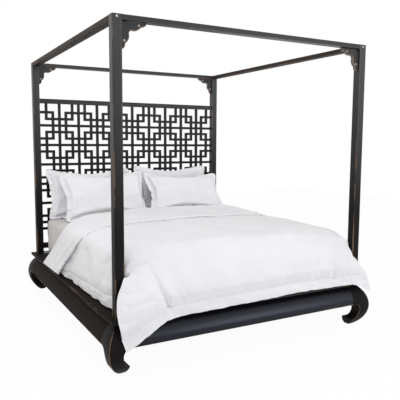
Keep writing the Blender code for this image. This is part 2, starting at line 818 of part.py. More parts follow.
def add_mattress():
    half = MATTRESS_WIDTH / 2
    along = (-INNER_Y + FOOT_ROOM, INNER_Y - HEAD_ROOM)
    shape = blocks([((-half, half), along, (DECK_HEIGHT + GAP, MATTRESS_TOP))])
    bmesh.ops.bevel(
        shape,
        geom=shape.edges[:],
        offset=MATTRESS_EDGE_RADIUS,
        segments=4,
        profile=0.5,
        affect="EDGES",
    )
    add_piece("mattress", shape, FITTED_SHEET, smooth=True)


def closed_sheet(front, back):
    """A closed body between two grids of points, with a rim round their edges."""
    shape = bmesh.new()
    faces = [[[shape.verts.new(point) for point in row] for row in grid] for grid in (front, back)]
    rows = len(front)
    columns = len(front[0])
    for grid, order in zip(faces, (1, -1)):
        for i in range(rows - 1):
            for j in range(columns - 1):
                quad = (grid[i][j], grid[i][j + 1], grid[i + 1][j + 1], grid[i + 1][j])
                shape.faces.new(quad[::order])
    edge = [(0, j) for j in range(columns)]
    edge += [(i, columns - 1) for i in range(1, rows)]
    edge += [(rows - 1, j) for j in range(columns - 2, -1, -1)]
    edge += [(i, 0) for i in range(rows - 2, 0, -1)]
    upper, lower = faces
    for (i, j), (m, n) in zip(edge, edge[1:] + edge[:1]):
        shape.faces.new((upper[i][j], lower[i][j], lower[m][n], upper[m][n]))
    return shape


def pillow_lines(size, count):
    """Grid lines across a pillow: its two edges, its two seams, and even lines between the seams."""
    seam = size / 2 - PILLOW_FLANGE
    inner = [seam * (2 * i / (count - 2) - 1) for i in range(count - 1)]
    return [-size / 2] + inner + [size / 2]


def pillow_faces():
    """Front and back grids of a flanged pillow that lies flat, crowned and drawn in along its sides."""
    across = pillow_lines(PILLOW_WIDTH, PILLOW_COLUMNS)
    along = pillow_lines(PILLOW_HEIGHT, PILLOW_ROWS)
    front = []
    for y in along:
        b = max(-1, min(1, y / (PILLOW_HEIGHT / 2 - PILLOW_FLANGE)))
        row = []
        for x in across:
            a = max(-1, min(1, x / (PILLOW_WIDTH / 2 - PILLOW_FLANGE)))
            crown = ((1 - a * a) * (1 - b * b)) ** 0.6
            rise = mix(PILLOW_FLANGE_THICKNESS, PILLOW_THICKNESS, crown) / 2
            inward = PILLOW_DRAW_IN
            row.append(Vector((x - inward * a**3 * (1 - b * b), y - inward * b**3 * (1 - a * a), rise)))
        front.append(row)
    back = [[Vector((point.x, point.y, -point.z)) for point in row] for row in front]
    return front, back


def leaning_pillow(middle, tilt):
    """Pillow grids that lean back by a tilt from upright, with the lowest point on the mattress."""
    turn = math.radians(tilt)
    up = Vector((0, math.sin(turn), math.cos(turn)))
    out = Vector((0, -math.cos(turn), math.sin(turn)))
    grids = []
    for grid in pillow_faces():
        grids.append([[Vector((middle + p.x, 0, 0)) + up * p.y + out * p.z for p in row] for row in grid])
    lowest = min(point.z for grid in grids for row in grid for point in row)
    moved(grids, Vector((0, 0, MATTRESS_TOP + GAP - lowest)))
    return grids


def moved(grids, step):
    for grid in grids:
        for row in grid:
            for point in row:
                point += step


def room_behind(grids, others):
    """How far a pillow can slide back before it meets one of the others."""
    mine = closed_sheet(*grids)
    rooms = []
    for other in others:
        theirs = closed_sheet(*other)
        for shape, target, way in ((mine, theirs, 1), (theirs, mine, -1)):
            tree = BVHTree.FromBMesh(target)
            for point in shape.verts:
                distance = tree.ray_cast(point.co, Vector((0, way, 0)))[3]
                if distance is not None:
                    rooms.append(distance)
        theirs.free()
    mine.free()
    return min(rooms)


def add_pillows():
    """Adds the four pillows, and returns the Y of the frontmost point of them."""
    rear = {}
    front = []
    wall = POST_Y - LATTICE_THICKNESS / 2 - GAP
    for side, (middle, tilt) in REAR_PILLOWS.items():
        grids = leaning_pillow(middle, tilt)
        furthest = max(point.y for grid in grids for row in grid for point in row)
        moved(grids, Vector((0, wall - furthest, 0)))
        rear[side] = grids
        add_piece(f"pillow_rear_{side}", closed_sheet(*grids), LINEN, smooth=True)
    for side, (middle, tilt) in FRONT_PILLOWS.items():
        grids = leaning_pillow(middle, tilt)
        moved(grids, Vector((0, -PILLOW_HEIGHT, 0)))
        moved(grids, Vector((0, room_behind(grids, rear.values()) - GAP, 0)))
        front += [point.y for grid in grids for row in grid for point in row]
        add_piece(f"pillow_front_{side}", closed_sheet(*grids), LINEN, smooth=True)
    return min(front)


def spline(points, share):
    """A point on the clamped cubic B-spline of some control points."""
    padded = [points[0]] * 2 + list(points) + [points[-1]] * 2
    spans = len(padded) - 3
    place = min(share * spans, spans - 1e-9)
    first = int(place)
    t = place - first
    weights = (
        (1 - t) ** 3 / 6,
        (3 * t**3 - 6 * t**2 + 4) / 6,
        (-3 * t**3 + 3 * t**2 + 3 * t + 1) / 6,
        t**3 / 6,
    )
    return sum((padded[first + i] * weight for i, weight in enumerate(weights)), Vector((0, 0, 0)))


def duvet_sections(shape, fold_middle):
    """Sections of the duvet on one side, from the fold at the head to the hem at the foot.

    Each is the hem, the shoulder and the middle of the outer face, then those of the inner face, with the
    side taken to +X.
    """
    half = MATTRESS_WIDTH / 2
    deck = DECK_HEIGHT + GAP
    hem = DUVET_HEM_THICKNESS
    thick = DUVET_LOFT
    folded = DUVET_LOFT + DUVET_FOLD_LOFT
    foot = -INNER_Y + FOOT_ROOM
    step = Vector((1, 1, 1))
    head = Vector((*shape["fold"], 0)) + step * fold_middle
    turn = Vector((*shape["free_edge"], 0)) + step * (fold_middle - DUVET_TURN_BACK)
    end = step * foot
    on_bed = [
        (head, thick / 2),
        (head - 0.015 * step, folded),
        (mix(head, turn, 0.4), folded),
        (turn + 0.040 * step, folded),
        (turn + 0.008 * step, folded),
        (turn - 0.008 * step, thick),
        (mix(turn, end, 0.3), thick),
        (mix(turn, end, 0.6), thick),
        (mix(turn, end, 0.88), thick),
    ]
    sections = []
    for line, loft_there in on_bed:
        edge = half + DUVET_SIDE_FLARE * mix(0.6, 1, (line[0] - foot) / (head[0] - foot))
        outer = (
            Vector((edge, line[0], deck + hem)),
            Vector((half + 0.080, line[1], MATTRESS_TOP + loft_there + 0.020)),
            Vector((0, line[2], MATTRESS_TOP + 1.1 * loft_there)),
        )
        inner = (
            Vector((edge - hem, line[0], deck + GAP)),
            Vector((half + 0.045, line[1], MATTRESS_TOP + 0.030)),
            Vector((0, line[2], MATTRESS_TOP + GAP)),
        )
        sections.append((outer, inner))

    narrow = INNER_X - DUVET_POST_ROOM
    rise = MATTRESS_TOP - deck
    front = -DECK_Y - DUVET_FOOT_FLARE
    before_post, at_deck, at_tip = (INNER_X + spread for spread in shape["spread"])
    shoulder_drop, tip_drop = shape["drop"]
    falls = [
        # over the mattress's foot edge
        (
            (narrow, foot - 0.020, deck + 0.17 * rise),
            (narrow, foot - 0.030, MATTRESS_TOP + thick),
            (foot - 0.030, MATTRESS_TOP + thick),
            (foot - 0.026, MATTRESS_TOP + 0.030),
        ),
        # into the room between the posts
        (
            (narrow, -INNER_Y, deck + 0.44 * rise),
            (narrow - 0.020, -INNER_Y, deck + 1.02 * rise),
            (-INNER_Y, deck + 1.02 * rise),
            (-INNER_Y + 0.026, deck + 0.90 * rise),
        ),
        # out of it
        (
            (narrow - 0.004, -INNER_Y - POST_SIDE, deck + 0.61 * rise),
            (narrow - 0.030, -INNER_Y - POST_SIDE, deck + 0.79 * rise),
            (-INNER_Y - POST_SIDE, deck + 0.80 * rise),
            (-INNER_Y - POST_SIDE + 0.024, deck + 0.71 * rise),
        ),
        # in front of the posts
        (
            (before_post, -DECK_Y - 0.002, deck + 0.47 * rise),
            (narrow - 0.080, -DECK_Y - 0.006, deck + 0.48 * rise),
            (-DECK_Y - 0.006, deck + 0.48 * rise),
            (-DECK_Y + 0.014, deck + 0.42 * rise),
        ),
        # in front of the deck
        (
            (at_deck, front, deck + 0.020),
            (narrow - 0.080, front, deck + 0.030),
            (front, deck + 0.030),
            (front + hem, deck + 0.025),
        ),
        # at the hem
        (
            (at_tip, front - hem / 2, deck - tip_drop),
            (narrow - 0.130, front, deck - shoulder_drop),
            (front, deck - DUVET_FOOT_HEM),
            (front + hem, deck - DUVET_FOOT_HEM),
        ),
    ]
    for side_edge, shoulder, middle, middle_in in falls:
        outer = (Vector(side_edge), Vector(shoulder), Vector((0, *middle)))
        depth = Vector((0, *middle_in)) - outer[2]
        thinner = depth * (hem / depth.length)
        inset = Vector((-hem / 2, 0, 0))
        inner = (outer[0] + thinner + inset, outer[1] + depth + inset, outer[2] + depth)
        sections.append((outer, inner))
    return sections


def across_duvet(points, sign):
    """Control points of half a section, from the hem to the middle."""
    hem, shoulder, middle = points
    near_middle = mix(shoulder, middle, 0.30)
    near_middle.y = mix(shoulder.y, middle.y, 0.80)
    half = [hem, mix(hem, shoulder, 0.33), mix(hem, shoulder, 0.66), shoulder, near_middle]
    return [Vector((sign * point.x, point.y, point.z)) for point in half]


def duvet_face(which, fold_middle):
    """A grid of points over the outer (0) or the inner (1) face of the duvet."""
    left = duvet_sections(DUVET_SIDES["left"], fold_middle)
    right = duvet_sections(DUVET_SIDES["right"], fold_middle)
    net = []
    for near, far in zip(left, right):
        middle = near[which][2]
        row = across_duvet(near[which], -1) + [middle] + across_duvet(far[which], 1)[::-1]
        net.append([spline(row, j / DUVET_COLUMNS) for j in range(DUVET_COLUMNS + 1)])
    grid = []
    for i in range(DUVET_ROWS + 1):
        row = [spline([line[j] for line in net], i / DUVET_ROWS) for j in range(DUVET_COLUMNS + 1)]
        for point in row:
            fall = max(0, min(1, (DECK_HEIGHT + 0.050 - point.z) / 0.080))
            if point.y < -DECK_Y:
                swing = (1 + math.cos(DUVET_WAVES * math.pi * point.x / INNER_X)) / 2
                point.y -= fall * swing * DUVET_WAVE_DEPTH
        grid.append(row)
    return grid


def add_duvet(pillow_front):
    fold_middle = pillow_front - DUVET_PILLOW_ROOM
    shape = closed_sheet(duvet_face(0, fold_middle), duvet_face(1, fold_middle))
    add_piece("duvet", shape, LINEN, smooth=True)


def centre_footprint():
    """Moves the whole bed so that its bounding box stands centred on the origin."""
    points = []
    for piece in bed.children:
        if not piece.hide_render:
            points += [vertex.co for vertex in piece.data.vertices]
    for axis in (0, 1):
        values = [point[axis] for point in points]
        bed.location[axis] = -(min(values) + max(values)) / 2


add_platform()
for end_name in ENDS:
    for side_name in SIDES:
        add_post(side_name, end_name)
        add_bracket(side_name, end_name)
add_canopy()
add_headboard()
add_slats()
add_mattress()
add_duvet(add_pillows())
centre_footprint()
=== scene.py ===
import math

import bmesh
import bpy
import numpy as np
from mathutils import Matrix, Vector, noise


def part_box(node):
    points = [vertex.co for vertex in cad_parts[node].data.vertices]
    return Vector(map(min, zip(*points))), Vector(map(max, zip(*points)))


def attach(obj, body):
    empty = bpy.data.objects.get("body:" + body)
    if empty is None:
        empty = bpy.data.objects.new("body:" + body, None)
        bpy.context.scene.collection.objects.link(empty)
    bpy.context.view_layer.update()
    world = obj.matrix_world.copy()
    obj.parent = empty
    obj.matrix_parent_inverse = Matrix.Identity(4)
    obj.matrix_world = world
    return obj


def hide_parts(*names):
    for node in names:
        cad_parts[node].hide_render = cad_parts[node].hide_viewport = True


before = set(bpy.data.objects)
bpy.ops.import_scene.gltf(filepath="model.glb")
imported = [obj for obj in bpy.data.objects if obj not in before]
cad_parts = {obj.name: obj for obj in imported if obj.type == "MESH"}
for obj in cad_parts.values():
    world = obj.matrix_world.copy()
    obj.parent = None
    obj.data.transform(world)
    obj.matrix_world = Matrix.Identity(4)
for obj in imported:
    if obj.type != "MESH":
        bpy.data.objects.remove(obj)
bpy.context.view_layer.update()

ENDS = ("front", "rear")
SIDES = ("left", "right")
CORNERS = [(end, side) for end in ENDS for side in SIDES]

# Points closer than this are one point
WELD = 1e-5
# Faces that turn by less than this are one flat face
FLAT = math.radians(0.5)
# Edges that turn by more than this are sharp
SHARP = math.radians(25)
# Edges that turn by less than this are shaded smooth
SMOOTH_UP_TO = math.radians(38)

# The camera: where it stands, its turn from +Y toward +X, its tilt down, its roll, and its lens
CAMERA_PLACE = Vector((-2.0599, -4.0772, 1.425))
CAMERA_TURN = math.radians(28.952)
CAMERA_TILT = math.radians(6.194)
CAMERA_ROLL = math.radians(0.289)
CAMERA_LENS = 47.558
CAMERA_SENSOR = 36.0

# Light levels, at which a colour renders about as it is written
FILL = 0.68
FRONT_POWER = 46
FRONT_PLACE = Vector((2.5, -5.0, 1.8))
FRONT_SIZE = (2.4, 1.3)
TOP_POWER = 80
TOP_PLACE = Vector((-1.9, -1.6, 4.6))
TOP_SIZE = (3.0, 3.0)
LIGHTS_AIM = Vector((0, 0, 0.9))
FLOOR_GLOW = 0.96
FLOOR_HALF = 9.0

scene = bpy.context.scene
scene.view_settings.view_transform = "Standard"


def add_camera():
    """The camera that took the photograph."""
    ahead = Vector((math.sin(CAMERA_TURN), math.cos(CAMERA_TURN), 0)) * math.cos(CAMERA_TILT)
    ahead.z = -math.sin(CAMERA_TILT)
    level = Vector((math.cos(CAMERA_TURN), -math.sin(CAMERA_TURN), 0))
    right = level * math.cos(CAMERA_ROLL) + level.cross(ahead) * math.sin(CAMERA_ROLL)
    data = bpy.data.cameras.new("camera")
    data.sensor_width = CAMERA_SENSOR
    data.lens = CAMERA_LENS
    camera = bpy.data.objects.new("camera", data)
    scene.collection.objects.link(camera)
    place = Matrix((right, right.cross(ahead), -ahead)).transposed().to_4x4()
    place.translation = CAMERA_PLACE
    camera.matrix_world = place
    scene.camera = camera


def linear(colour):
    """Linear RGBA of an sRGB hex colour."""
    values = [int(colour[i : i + 2], 16) / 255 for i in (1, 3, 5)]
    return [v / 12.92 if v <= 0.04045 else ((v + 0.055) / 1.055) ** 2.4 for v in values] + [1]


def add_node(tree, kind, inputs=None, **settings):
    """Adds one node; inputs are values or other nodes' sockets, by the name or number of its own socket."""
    node = tree.nodes.new("ShaderNode" + kind)
    for name, value in settings.items():
        setattr(node, name, value)
    for name, value in (inputs or {}).items():
        if isinstance(value, bpy.types.NodeSocket):
            tree.links.new(value, node.inputs[name])
        else:
            node.inputs[name].default_value = value
    return node


def maths(tree, operation, *values):
    """A sum, product or the like of numbers and sockets."""
    return add_node(tree, "Math", dict(enumerate(values)), operation=operation).outputs[0]


def ranged(tree, value, source, target=(0, 1)):
    """A value moved from one range into another, and held at its ends."""
    return add_node(tree, "MapRange", dict(enumerate((value, *source, *target)))).outputs[0]


def blend(tree, share, first, second):
    """A mix of two colours, each a hex value or a socket."""
    first, second = (linear(end) if isinstance(end, str) else end for end in (first, second))
    return add_node(tree, "Mix", {0: share, 6: first, 7: second}, data_type="RGBA").outputs[2]


def noisy(tree, place, size, detail, **more):
    """Noise with features of a size in millimetres."""
    inputs = {"Vector": place, "Scale": 1000 / size, "Detail": detail, **more}
    return add_node(tree, "TexNoise", inputs).outputs[0]


def object_place(tree):
    """Coordinates on the bed, in metres."""
    return add_node(tree, "TexCoord").outputs["Object"]


def stretched(tree, axis, share):
    """Coordinates drawn out along an axis, so that a pattern runs along the grain."""
    scale = [1.0, 1.0, 1.0]
    scale[axis] = share
    return add_node(tree, "Mapping", {"Vector": object_place(tree), "Scale": scale}).outputs[0]


def new_finish(name):
    """A new material with an empty node tree."""
    finish = bpy.data.materials.new(name)
    finish.use_nodes = True
    finish.node_tree.nodes.clear()
    return finish, finish.node_tree


def surfaced(finish, inputs):
    """Ends a finish with its surface, and gives the finish."""
    shader = add_node(finish.node_tree, "BsdfPrincipled", inputs)
    add_node(finish.node_tree, "OutputMaterial", {"Surface": shader.outputs[0]})
    return finish


def add_light(name, place, power, size, colour):
    """A soft rectangular light that faces the middle of the bed."""
    data = bpy.data.lights.new(name, "AREA")
    data.color = linear(colour)[:3]
    data.energy = power
    data.shape = "RECTANGLE"
    data.size, data.size_y = size
    light = bpy.data.objects.new(name, data)
    scene.collection.objects.link(light)
    light.matrix_world = (place - LIGHTS_AIM).to_track_quat("Z", "Y").to_matrix().to_4x4()
    light.matrix_world.translation = place


def seen_directly(tree):
    """1 for rays from the camera and for mirrored or refracted ones, else 0."""
    path = add_node(tree, "LightPath").outputs
    some = maths(tree, "MAXIMUM", path["Is Camera Ray"], path["Is Glossy Ray"])
    return maths(tree, "MAXIMUM", some, path["Is Transmission Ray"])


def add_studio():
    """White surroundings, a pale floor that keeps the shadow, and two soft lights."""
    scene.world = bpy.data.worlds.new("studio")
    scene.world.use_nodes = True
    tree = scene.world.node_tree
    tree.nodes.clear()
    fill = add_node(tree, "Background", {"Color": linear("#fdfaf6"), "Strength": FILL})
    white = add_node(tree, "Background", {"Color": (1, 1, 1, 1), "Strength": 1})
    shown = add_node(tree, "MixShader", {0: seen_directly(tree), 1: fill.outputs[0], 2: white.outputs[0]})
    add_node(tree, "OutputWorld", {"Surface": shown.outputs[0]})

    finish, tree = new_finish("pale_floor")
    matt = add_node(tree, "BsdfDiffuse", {"Color": linear("#f6f6f6")})
    glow = add_node(tree, "Emission", {"Color": (1, 1, 1, 1), "Strength": 1})
    lit = add_node(tree, "MixShader", {0: FLOOR_GLOW, 1: matt.outputs[0], 2: glow.outputs[0]})
    shown = add_node(tree, "MixShader", {0: seen_directly(tree), 1: matt.outputs[0], 2: lit.outputs[0]})
    add_node(tree, "OutputMaterial", {"Surface": shown.outputs[0]})
    shape = bmesh.new()
    bmesh.ops.create_grid(shape, x_segments=1, y_segments=1, size=FLOOR_HALF)
    mesh = bpy.data.meshes.new("floor")
    shape.to_mesh(mesh)
    shape.free()
    mesh.materials.append(finish)
    floor = bpy.data.objects.new("floor", mesh)
    scene.collection.objects.link(floor)

    add_light("front_softbox", FRONT_PLACE, FRONT_POWER, FRONT_SIZE, "#f1f5ff")
    add_light("overhead_softbox", TOP_PLACE, TOP_POWER, TOP_SIZE, "#f6f9ff")


# Heights in metres over which the lacquer goes from its low values to its high ones: its polish and its
# colour, darker and duller low down as painted shade and greyer and glossier high up as painted sheen, and
# its wax
PAINTED_SHEEN_RISE = (0.90, 2.10)
PAINTED_SHADE_RISE = (0.40, 2.10)
WAX_RISE = (0.40, 1.60)
# Heights between which edges are knocked less and less
KNOCKS_RISE = (0.50, 1.50)
# How far apart the percale's threads are drawn, in millimetres
THREAD_PITCH = 2.4


def worn_lacquer(name, axis, low, high, sheen="#ffffff"):
    """Black lacquer brushed on elm, rubbed through to the brown wood along its edges.

    Satin, with faint brush lines and the grain just showing; warm brown patches where hands have worn it.
    Low and high are its colour, polish and roughness near the floor and at the canopy; the darker, duller
    black near the floor is painted shade, and the greyer, more polished black at the canopy is painted sheen.
    Sheen is the tint of what it mirrors.
    """
    finish, tree = new_finish(name)
    grain = noisy(tree, stretched(tree, axis, 0.06), 9, 5, Roughness=0.6)
    patch = noisy(tree, stretched(tree, axis, 0.30), 110, 3, Roughness=0.55)
    chips = noisy(tree, stretched(tree, axis, 0.12), 14, 4, Roughness=0.65)
    wear = add_node(tree, "Attribute", attribute_name="wear").outputs["Fac"]
    height = add_node(tree, "SeparateXYZ", {"Vector": object_place(tree)}).outputs["Z"]

    # Edges wear in runs: the patches decide where, the chips break up the border
    run = ranged(tree, patch, (0.40, 0.66), (0.12, 1.0))
    run = maths(tree, "MULTIPLY", run, ranged(tree, height, KNOCKS_RISE, (1.45, 1.15)))
    reach = maths(tree, "MULTIPLY", wear, run)
    torn = ranged(tree, chips, (0.30, 0.70), (-0.34, 0.34))
    bare_edge = ranged(tree, maths(tree, "ADD", reach, torn), (0.42, 0.80))
    # A few rubbed places lie out on the faces
    rubbed = ranged(tree, patch, (0.66, 0.80), (0, 0.75))
    bare_face = maths(tree, "MULTIPLY", rubbed, ranged(tree, chips, (0.52, 0.68)))
    bare = maths(tree, "MAXIMUM", bare_edge, bare_face)

    # Painted shade and sheen: toward the floor the black is darker and less polished, and higher up it is
    # greyer and more polished
    painted_sheen = ranged(tree, height, PAINTED_SHEEN_RISE, (low[1], high[1]))
    black = blend(tree, ranged(tree, height, PAINTED_SHADE_RISE), low[0], high[0])
    black = blend(tree, grain, black, "#141314")
    # Where the wear mark passes 1, as on the carving, the wood turns pale
    wood = blend(tree, grain, "#3c2a20", "#86705f")
    wood = blend(tree, ranged(tree, wear, (1.0, 2.2), (0, 0.9)), wood, "#c4bbb0")
    waxed = ranged(tree, height, WAX_RISE, (low[2], high[2]))
    satin = maths(tree, "MULTIPLY_ADD", grain, 0.06, waxed)
    relief = maths(tree, "SUBTRACT", grain, bare)
    bump = add_node(tree, "Bump", {"Strength": 0.06, "Distance": 0.0004, "Height": relief})
    return surfaced(finish, {
        "Base Color": blend(tree, bare, black, wood),
        "Roughness": ranged(tree, bare, (0, 1), (satin, 0.68)),
        "Normal": bump.outputs[0],
        "IOR": 1.5,
        "Specular IOR Level": painted_sheen,
        "Specular Tint": linear(sheen),
    })


def planed_pine(axis):
    """Pine planed and left bare: pale straw colour with darker late wood in long lines."""
    finish, tree = new_finish(f"planed_pine_{'xyz'[axis]}")
    along = stretched(tree, axis, 0.05)
    rings = noisy(tree, along, 14, 2, Distortion=0.6)
    fibre = noisy(tree, along, 2.5, 3)
    wood = blend(tree, ranged(tree, rings, (0.46, 0.62)), "#dcc196", "#b98a55")
    bump = add_node(tree, "Bump", {"Strength": 0.3, "Distance": 0.0004, "Height": fibre})
    return surfaced(finish, {
        "Base Color": blend(tree, fibre, wood, "#cfae7d"),
        "Roughness": ranged(tree, fibre, (0.3, 0.7), (0.58, 0.76)),
        "Normal": bump.outputs[0],
        "IOR": 1.5,
    })


def bright_steel():
    """Turned steel: bright, with fine tool marks and a little dulling."""
    finish, tree = new_finish("bright_turned_steel")
    marks = noisy(tree, object_place(tree), 1.2, 3)
    return surfaced(finish, {
        "Base Color": blend(tree, marks, "#cfccc6", "#b3aea6"),
        "Roughness": ranged(tree, marks, (0.3, 0.7), (0.20, 0.38)),
        "Metallic": 1,
    })


def woven_cotton(name, light, dark):
    """Percale: plain-woven cotton, matt, washed soft, with a faint unevenness of tone.

    The real threads lie 0.25 mm apart; they are drawn wider apart so that they show.
    """
    finish, tree = new_finish(name)
    cloth = add_node(tree, "UVMap", uv_map="cloth").outputs[0]
    # at scale 1 a wave texture has 20 / tau bands to the unit
    wave = {"Vector": cloth, "Scale": 1000 / THREAD_PITCH * math.tau / 20,
            "Distortion": 1.2, "Detail": 1, "Detail Scale": 2}
    weave = [add_node(tree, "TexWave", wave, bands_direction=way).outputs["Fac"] for way in "XY"]
    slub = noisy(tree, cloth, 7, 3)
    relief = maths(tree, "ADD", maths(tree, "ADD", *weave), slub)
    bump = add_node(tree, "Bump", {"Strength": 0.22, "Distance": 0.0005, "Height": relief})
    mottle = ranged(tree, noisy(tree, object_place(tree), 260, 4), (0.3, 0.7))
    return surfaced(finish, {
        "Base Color": blend(tree, mottle, light, dark),
        "Roughness": 0.88,
        "Normal": bump.outputs[0],
        "IOR": 1.47,
        "Specular IOR Level": 0.25,
        "Sheen Weight": 0.10,
        "Sheen Roughness": 0.45,
    })


# Lacquer by the grain's axis: colour, polish and roughness near the floor and at the canopy. The fret is the
# darkest. The timbers along the sides are duller and browner, which paints the warm shade that the bed's left
# side is in; the front apron's bluish black and blue-tinted sheen paint in the blue of the front light's
# highlight, and its higher polish makes that highlight stronger
LACQUER = [
    worn_lacquer("worn_black_lacquer_across", 0, ("#1f1815", 0.22, 0.36), ("#2a2b2c", 0.46, 0.36)),
    worn_lacquer("worn_black_lacquer_along", 1, ("#271d18", 0.04, 0.60), ("#40362e", 0.16, 0.55)),
    worn_lacquer("worn_black_lacquer_upright", 2, ("#181311", 0.08, 0.50), ("#343535", 0.58, 0.36)),
]
OWN_FINISHES = {
    # painted highlight on the front apron: bluish black, more polish and a blue-tinted sheen
    "apron_front": worn_lacquer(
        "black_lacquer_painted_blue_highlight", 0, ("#131418", 0.32, 0.29), ("#2a2b2c", 0.46, 0.36), "#dfe7fd"
    ),
    "headboard_lattice": worn_lacquer(
        "worn_black_lacquer_fret", 0, ("#1a1310", 0.09, 0.45), ("#26201d", 0.30, 0.40)
    ),
}
PINE = [planed_pine(axis) for axis in range(3)]
STEEL = bright_steel()
LINEN = woven_cotton("white_percale", "#f3f3f6", "#ececf0")
FITTED = woven_cotton("oatmeal_percale", "#dbd7d4", "#cfcac7")


def add_piece(name, shape, finish, slot, *nodes):
    """Makes a bmesh a piece of the bed that stands for some CAD nodes."""
    mesh = bpy.data.meshes.new(name)
    shape.to_mesh(mesh)
    shape.free()
    # normals kept from the CAD don't fit the new faces
    kept = mesh.attributes.get("custom_normal")
    if kept:
        mesh.attributes.remove(kept)
    mesh.materials.clear()
    mesh.materials.append(finish)
    mesh.shade_smooth()
    mesh.set_sharp_from_angle(angle=SMOOTH_UP_TO)
    piece = bpy.data.objects.new(name, mesh)
    scene.collection.objects.link(piece)
    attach(piece, "root")
    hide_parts(*nodes)
    return piece


def cad_copy(node):
    """A merged copy of a node's mesh, with its flat faces whole again."""
    shape = bmesh.new()
    shape.from_mesh(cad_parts[node].data)
    bmesh.ops.remove_doubles(shape, verts=shape.verts, dist=WELD)
    bmesh.ops.dissolve_limit(shape, angle_limit=FLAT, verts=shape.verts, edges=shape.edges)
    for face in shape.faces:
        face.material_index = 0
    return shape


def outer_edges(shape, least):
    """The shape's sharp outward edges that are longer than a least length."""
    return [
        edge
        for edge in shape.edges
        if edge.is_manifold and edge.calc_length() > least and edge.calc_face_angle_signed() > SHARP
    ]


def slanted(edge):
    """Whether an edge runs along none of the three axes."""
    run = edge.verts[1].co - edge.verts[0].co
    return max(abs(value) for value in run) < 0.9999 * run.length


def set_wear(shape, faces, worn):
    """Marks how worn the points of some faces are."""
    wear = shape.verts.layers.float["wear"]
    for face in faces:
        for vert in face.verts:
            vert[wear] = worn


def eased(shape, edges, radius, worn=1.0, segments=2):
    """Rounds some edges, and marks how worn the points on the rounds are."""
    shape.verts.layers.float.new("wear")
    made = bmesh.ops.bevel(shape, geom=edges, offset=radius, segments=segments, profile=0.5, affect="EDGES",
                           clamp_overlap=False, material=-1)
    set_wear(shape, made["faces"], worn)
    return made["faces"]


def inset(shape, faces, width, depth=0):
    """Draws a line inside the border of some faces, and sinks what lies within."""
    bmesh.ops.inset_region(shape, faces=faces, thickness=width, depth=-depth, use_boundary=True,
                           use_even_offset=True)


def end_wear_in_flats(shape, rounded, reach):
    """Lets the wear end a little way off the rounds, on a line that is inset into the flat faces."""
    flats = [face for face in shape.faces if face not in set(rounded)]
    inset(shape, flats, reach)
    set_wear(shape, flats, 0)


def end_wear_on_planes(shape, grain, reach):
    """Lets the wear of a straight timber end on lines a little way in from its four long faces."""
    wear = shape.verts.layers.float["wear"]
    for axis in range(3):
        if axis != grain:
            normal = Vector((0, 0, 0))
            normal[axis] = 1
            places = [vert.co[axis] for vert in shape.verts]
            for place in (min(places) + reach, max(places) - reach):
                geom = list(shape.verts) + list(shape.edges) + list(shape.faces)
                made = bmesh.ops.bisect_plane(shape, geom=geom, dist=WELD, plane_co=normal * place,
                                              plane_no=normal)
                for item in made["geom_cut"]:
                    if isinstance(item, bmesh.types.BMVert):
                        item[wear] = 0


def end_wear_on_round(shape, rounded):
    """Keeps the wear to the crown of the rounds."""
    wear = shape.verts.layers.float["wear"]
    for face in rounded:
        for vert in face.verts:
            if any(near not in rounded for near in vert.link_faces):
                vert[wear] = 0


# Edges of the timbers: the radius that they are eased to, how worn they are, how far the wear reaches,
# and the shortest edge that is eased
RAIL_EDGES = (0.0025, 0.9, 0.007, 0.3)
APRON_EDGES = (0.0030, 0.9, 0.008, 0.3)
DECK_EDGES = (0.0060, 0.5, 0.003, 1.0)
POST_EDGES = (0.0030, 1.0, 0.011, 0.3)
LEG_EDGES = (0.0050, 0.8, 0, 0.004)
LATTICE_EDGES = (0.0016, 0.7, 0.004, 0.004)
SLAT_ROUND = 0.0020
SLAT_LEAST = 0.15


def timbers():
    """Each timber of the frame: its node, the axis of its grain, and its edges."""
    for end in ENDS:
        yield f"canopy_rail_{end}", 0, RAIL_EDGES
        yield f"apron_{end}", 0, APRON_EDGES
        yield f"deck_rail_{end}", 0, DECK_EDGES
        for side in SIDES:
            yield f"post_{end}_{side}", 2, POST_EDGES
            yield f"leg_{end}_{side}", 2, LEG_EDGES
    for side in SIDES:
        yield f"canopy_rail_{side}", 1, RAIL_EDGES
        yield f"apron_{side}", 1, APRON_EDGES
        yield f"deck_rail_{side}", 1, DECK_EDGES
    yield "headboard_top_rail", 0, RAIL_EDGES
    yield "headboard_low_rail", 0, RAIL_EDGES
    yield "headboard_lattice", 0, LATTICE_EDGES


def add_woodwork():
    """The joined frame: each piece with eased and worn edges, its grain along its length."""
    for node, grain, (radius, worn, reach, least) in timbers():
        shape = cad_copy(node)
        edges = outer_edges(shape, least)
        if node.startswith("leg"):
            # the corner lines of a leg slant all the way down; its mortises' edges do not
            rounded = eased(shape, [edge for edge in edges if slanted(edge)], radius, worn, segments=4)
            end_wear_on_round(shape, set(rounded))
        elif node.startswith(("post", "canopy")):
            eased(shape, edges, radius, worn)
            end_wear_on_planes(shape, grain, reach)
        else:
            end_wear_in_flats(shape, eased(shape, edges, radius, worn), reach)
        add_piece(f"{node}_lacquered", shape, OWN_FINISHES.get(node, LACQUER[grain]), "lacquer", node)


def add_bare_wood():
    """Slats, ledgers, beam and its legs, planed and with their arrises taken off."""
    for node in sorted(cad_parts):
        if node.startswith(("slat_", "centre_")):
            low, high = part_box(node)
            size = list(high - low)
            shape = cad_copy(node)
            eased(shape, outer_edges(shape, SLAT_LEAST), SLAT_ROUND)
            add_piece(f"{node}_planed", shape, PINE[size.index(max(size))], "bare_wood", node)


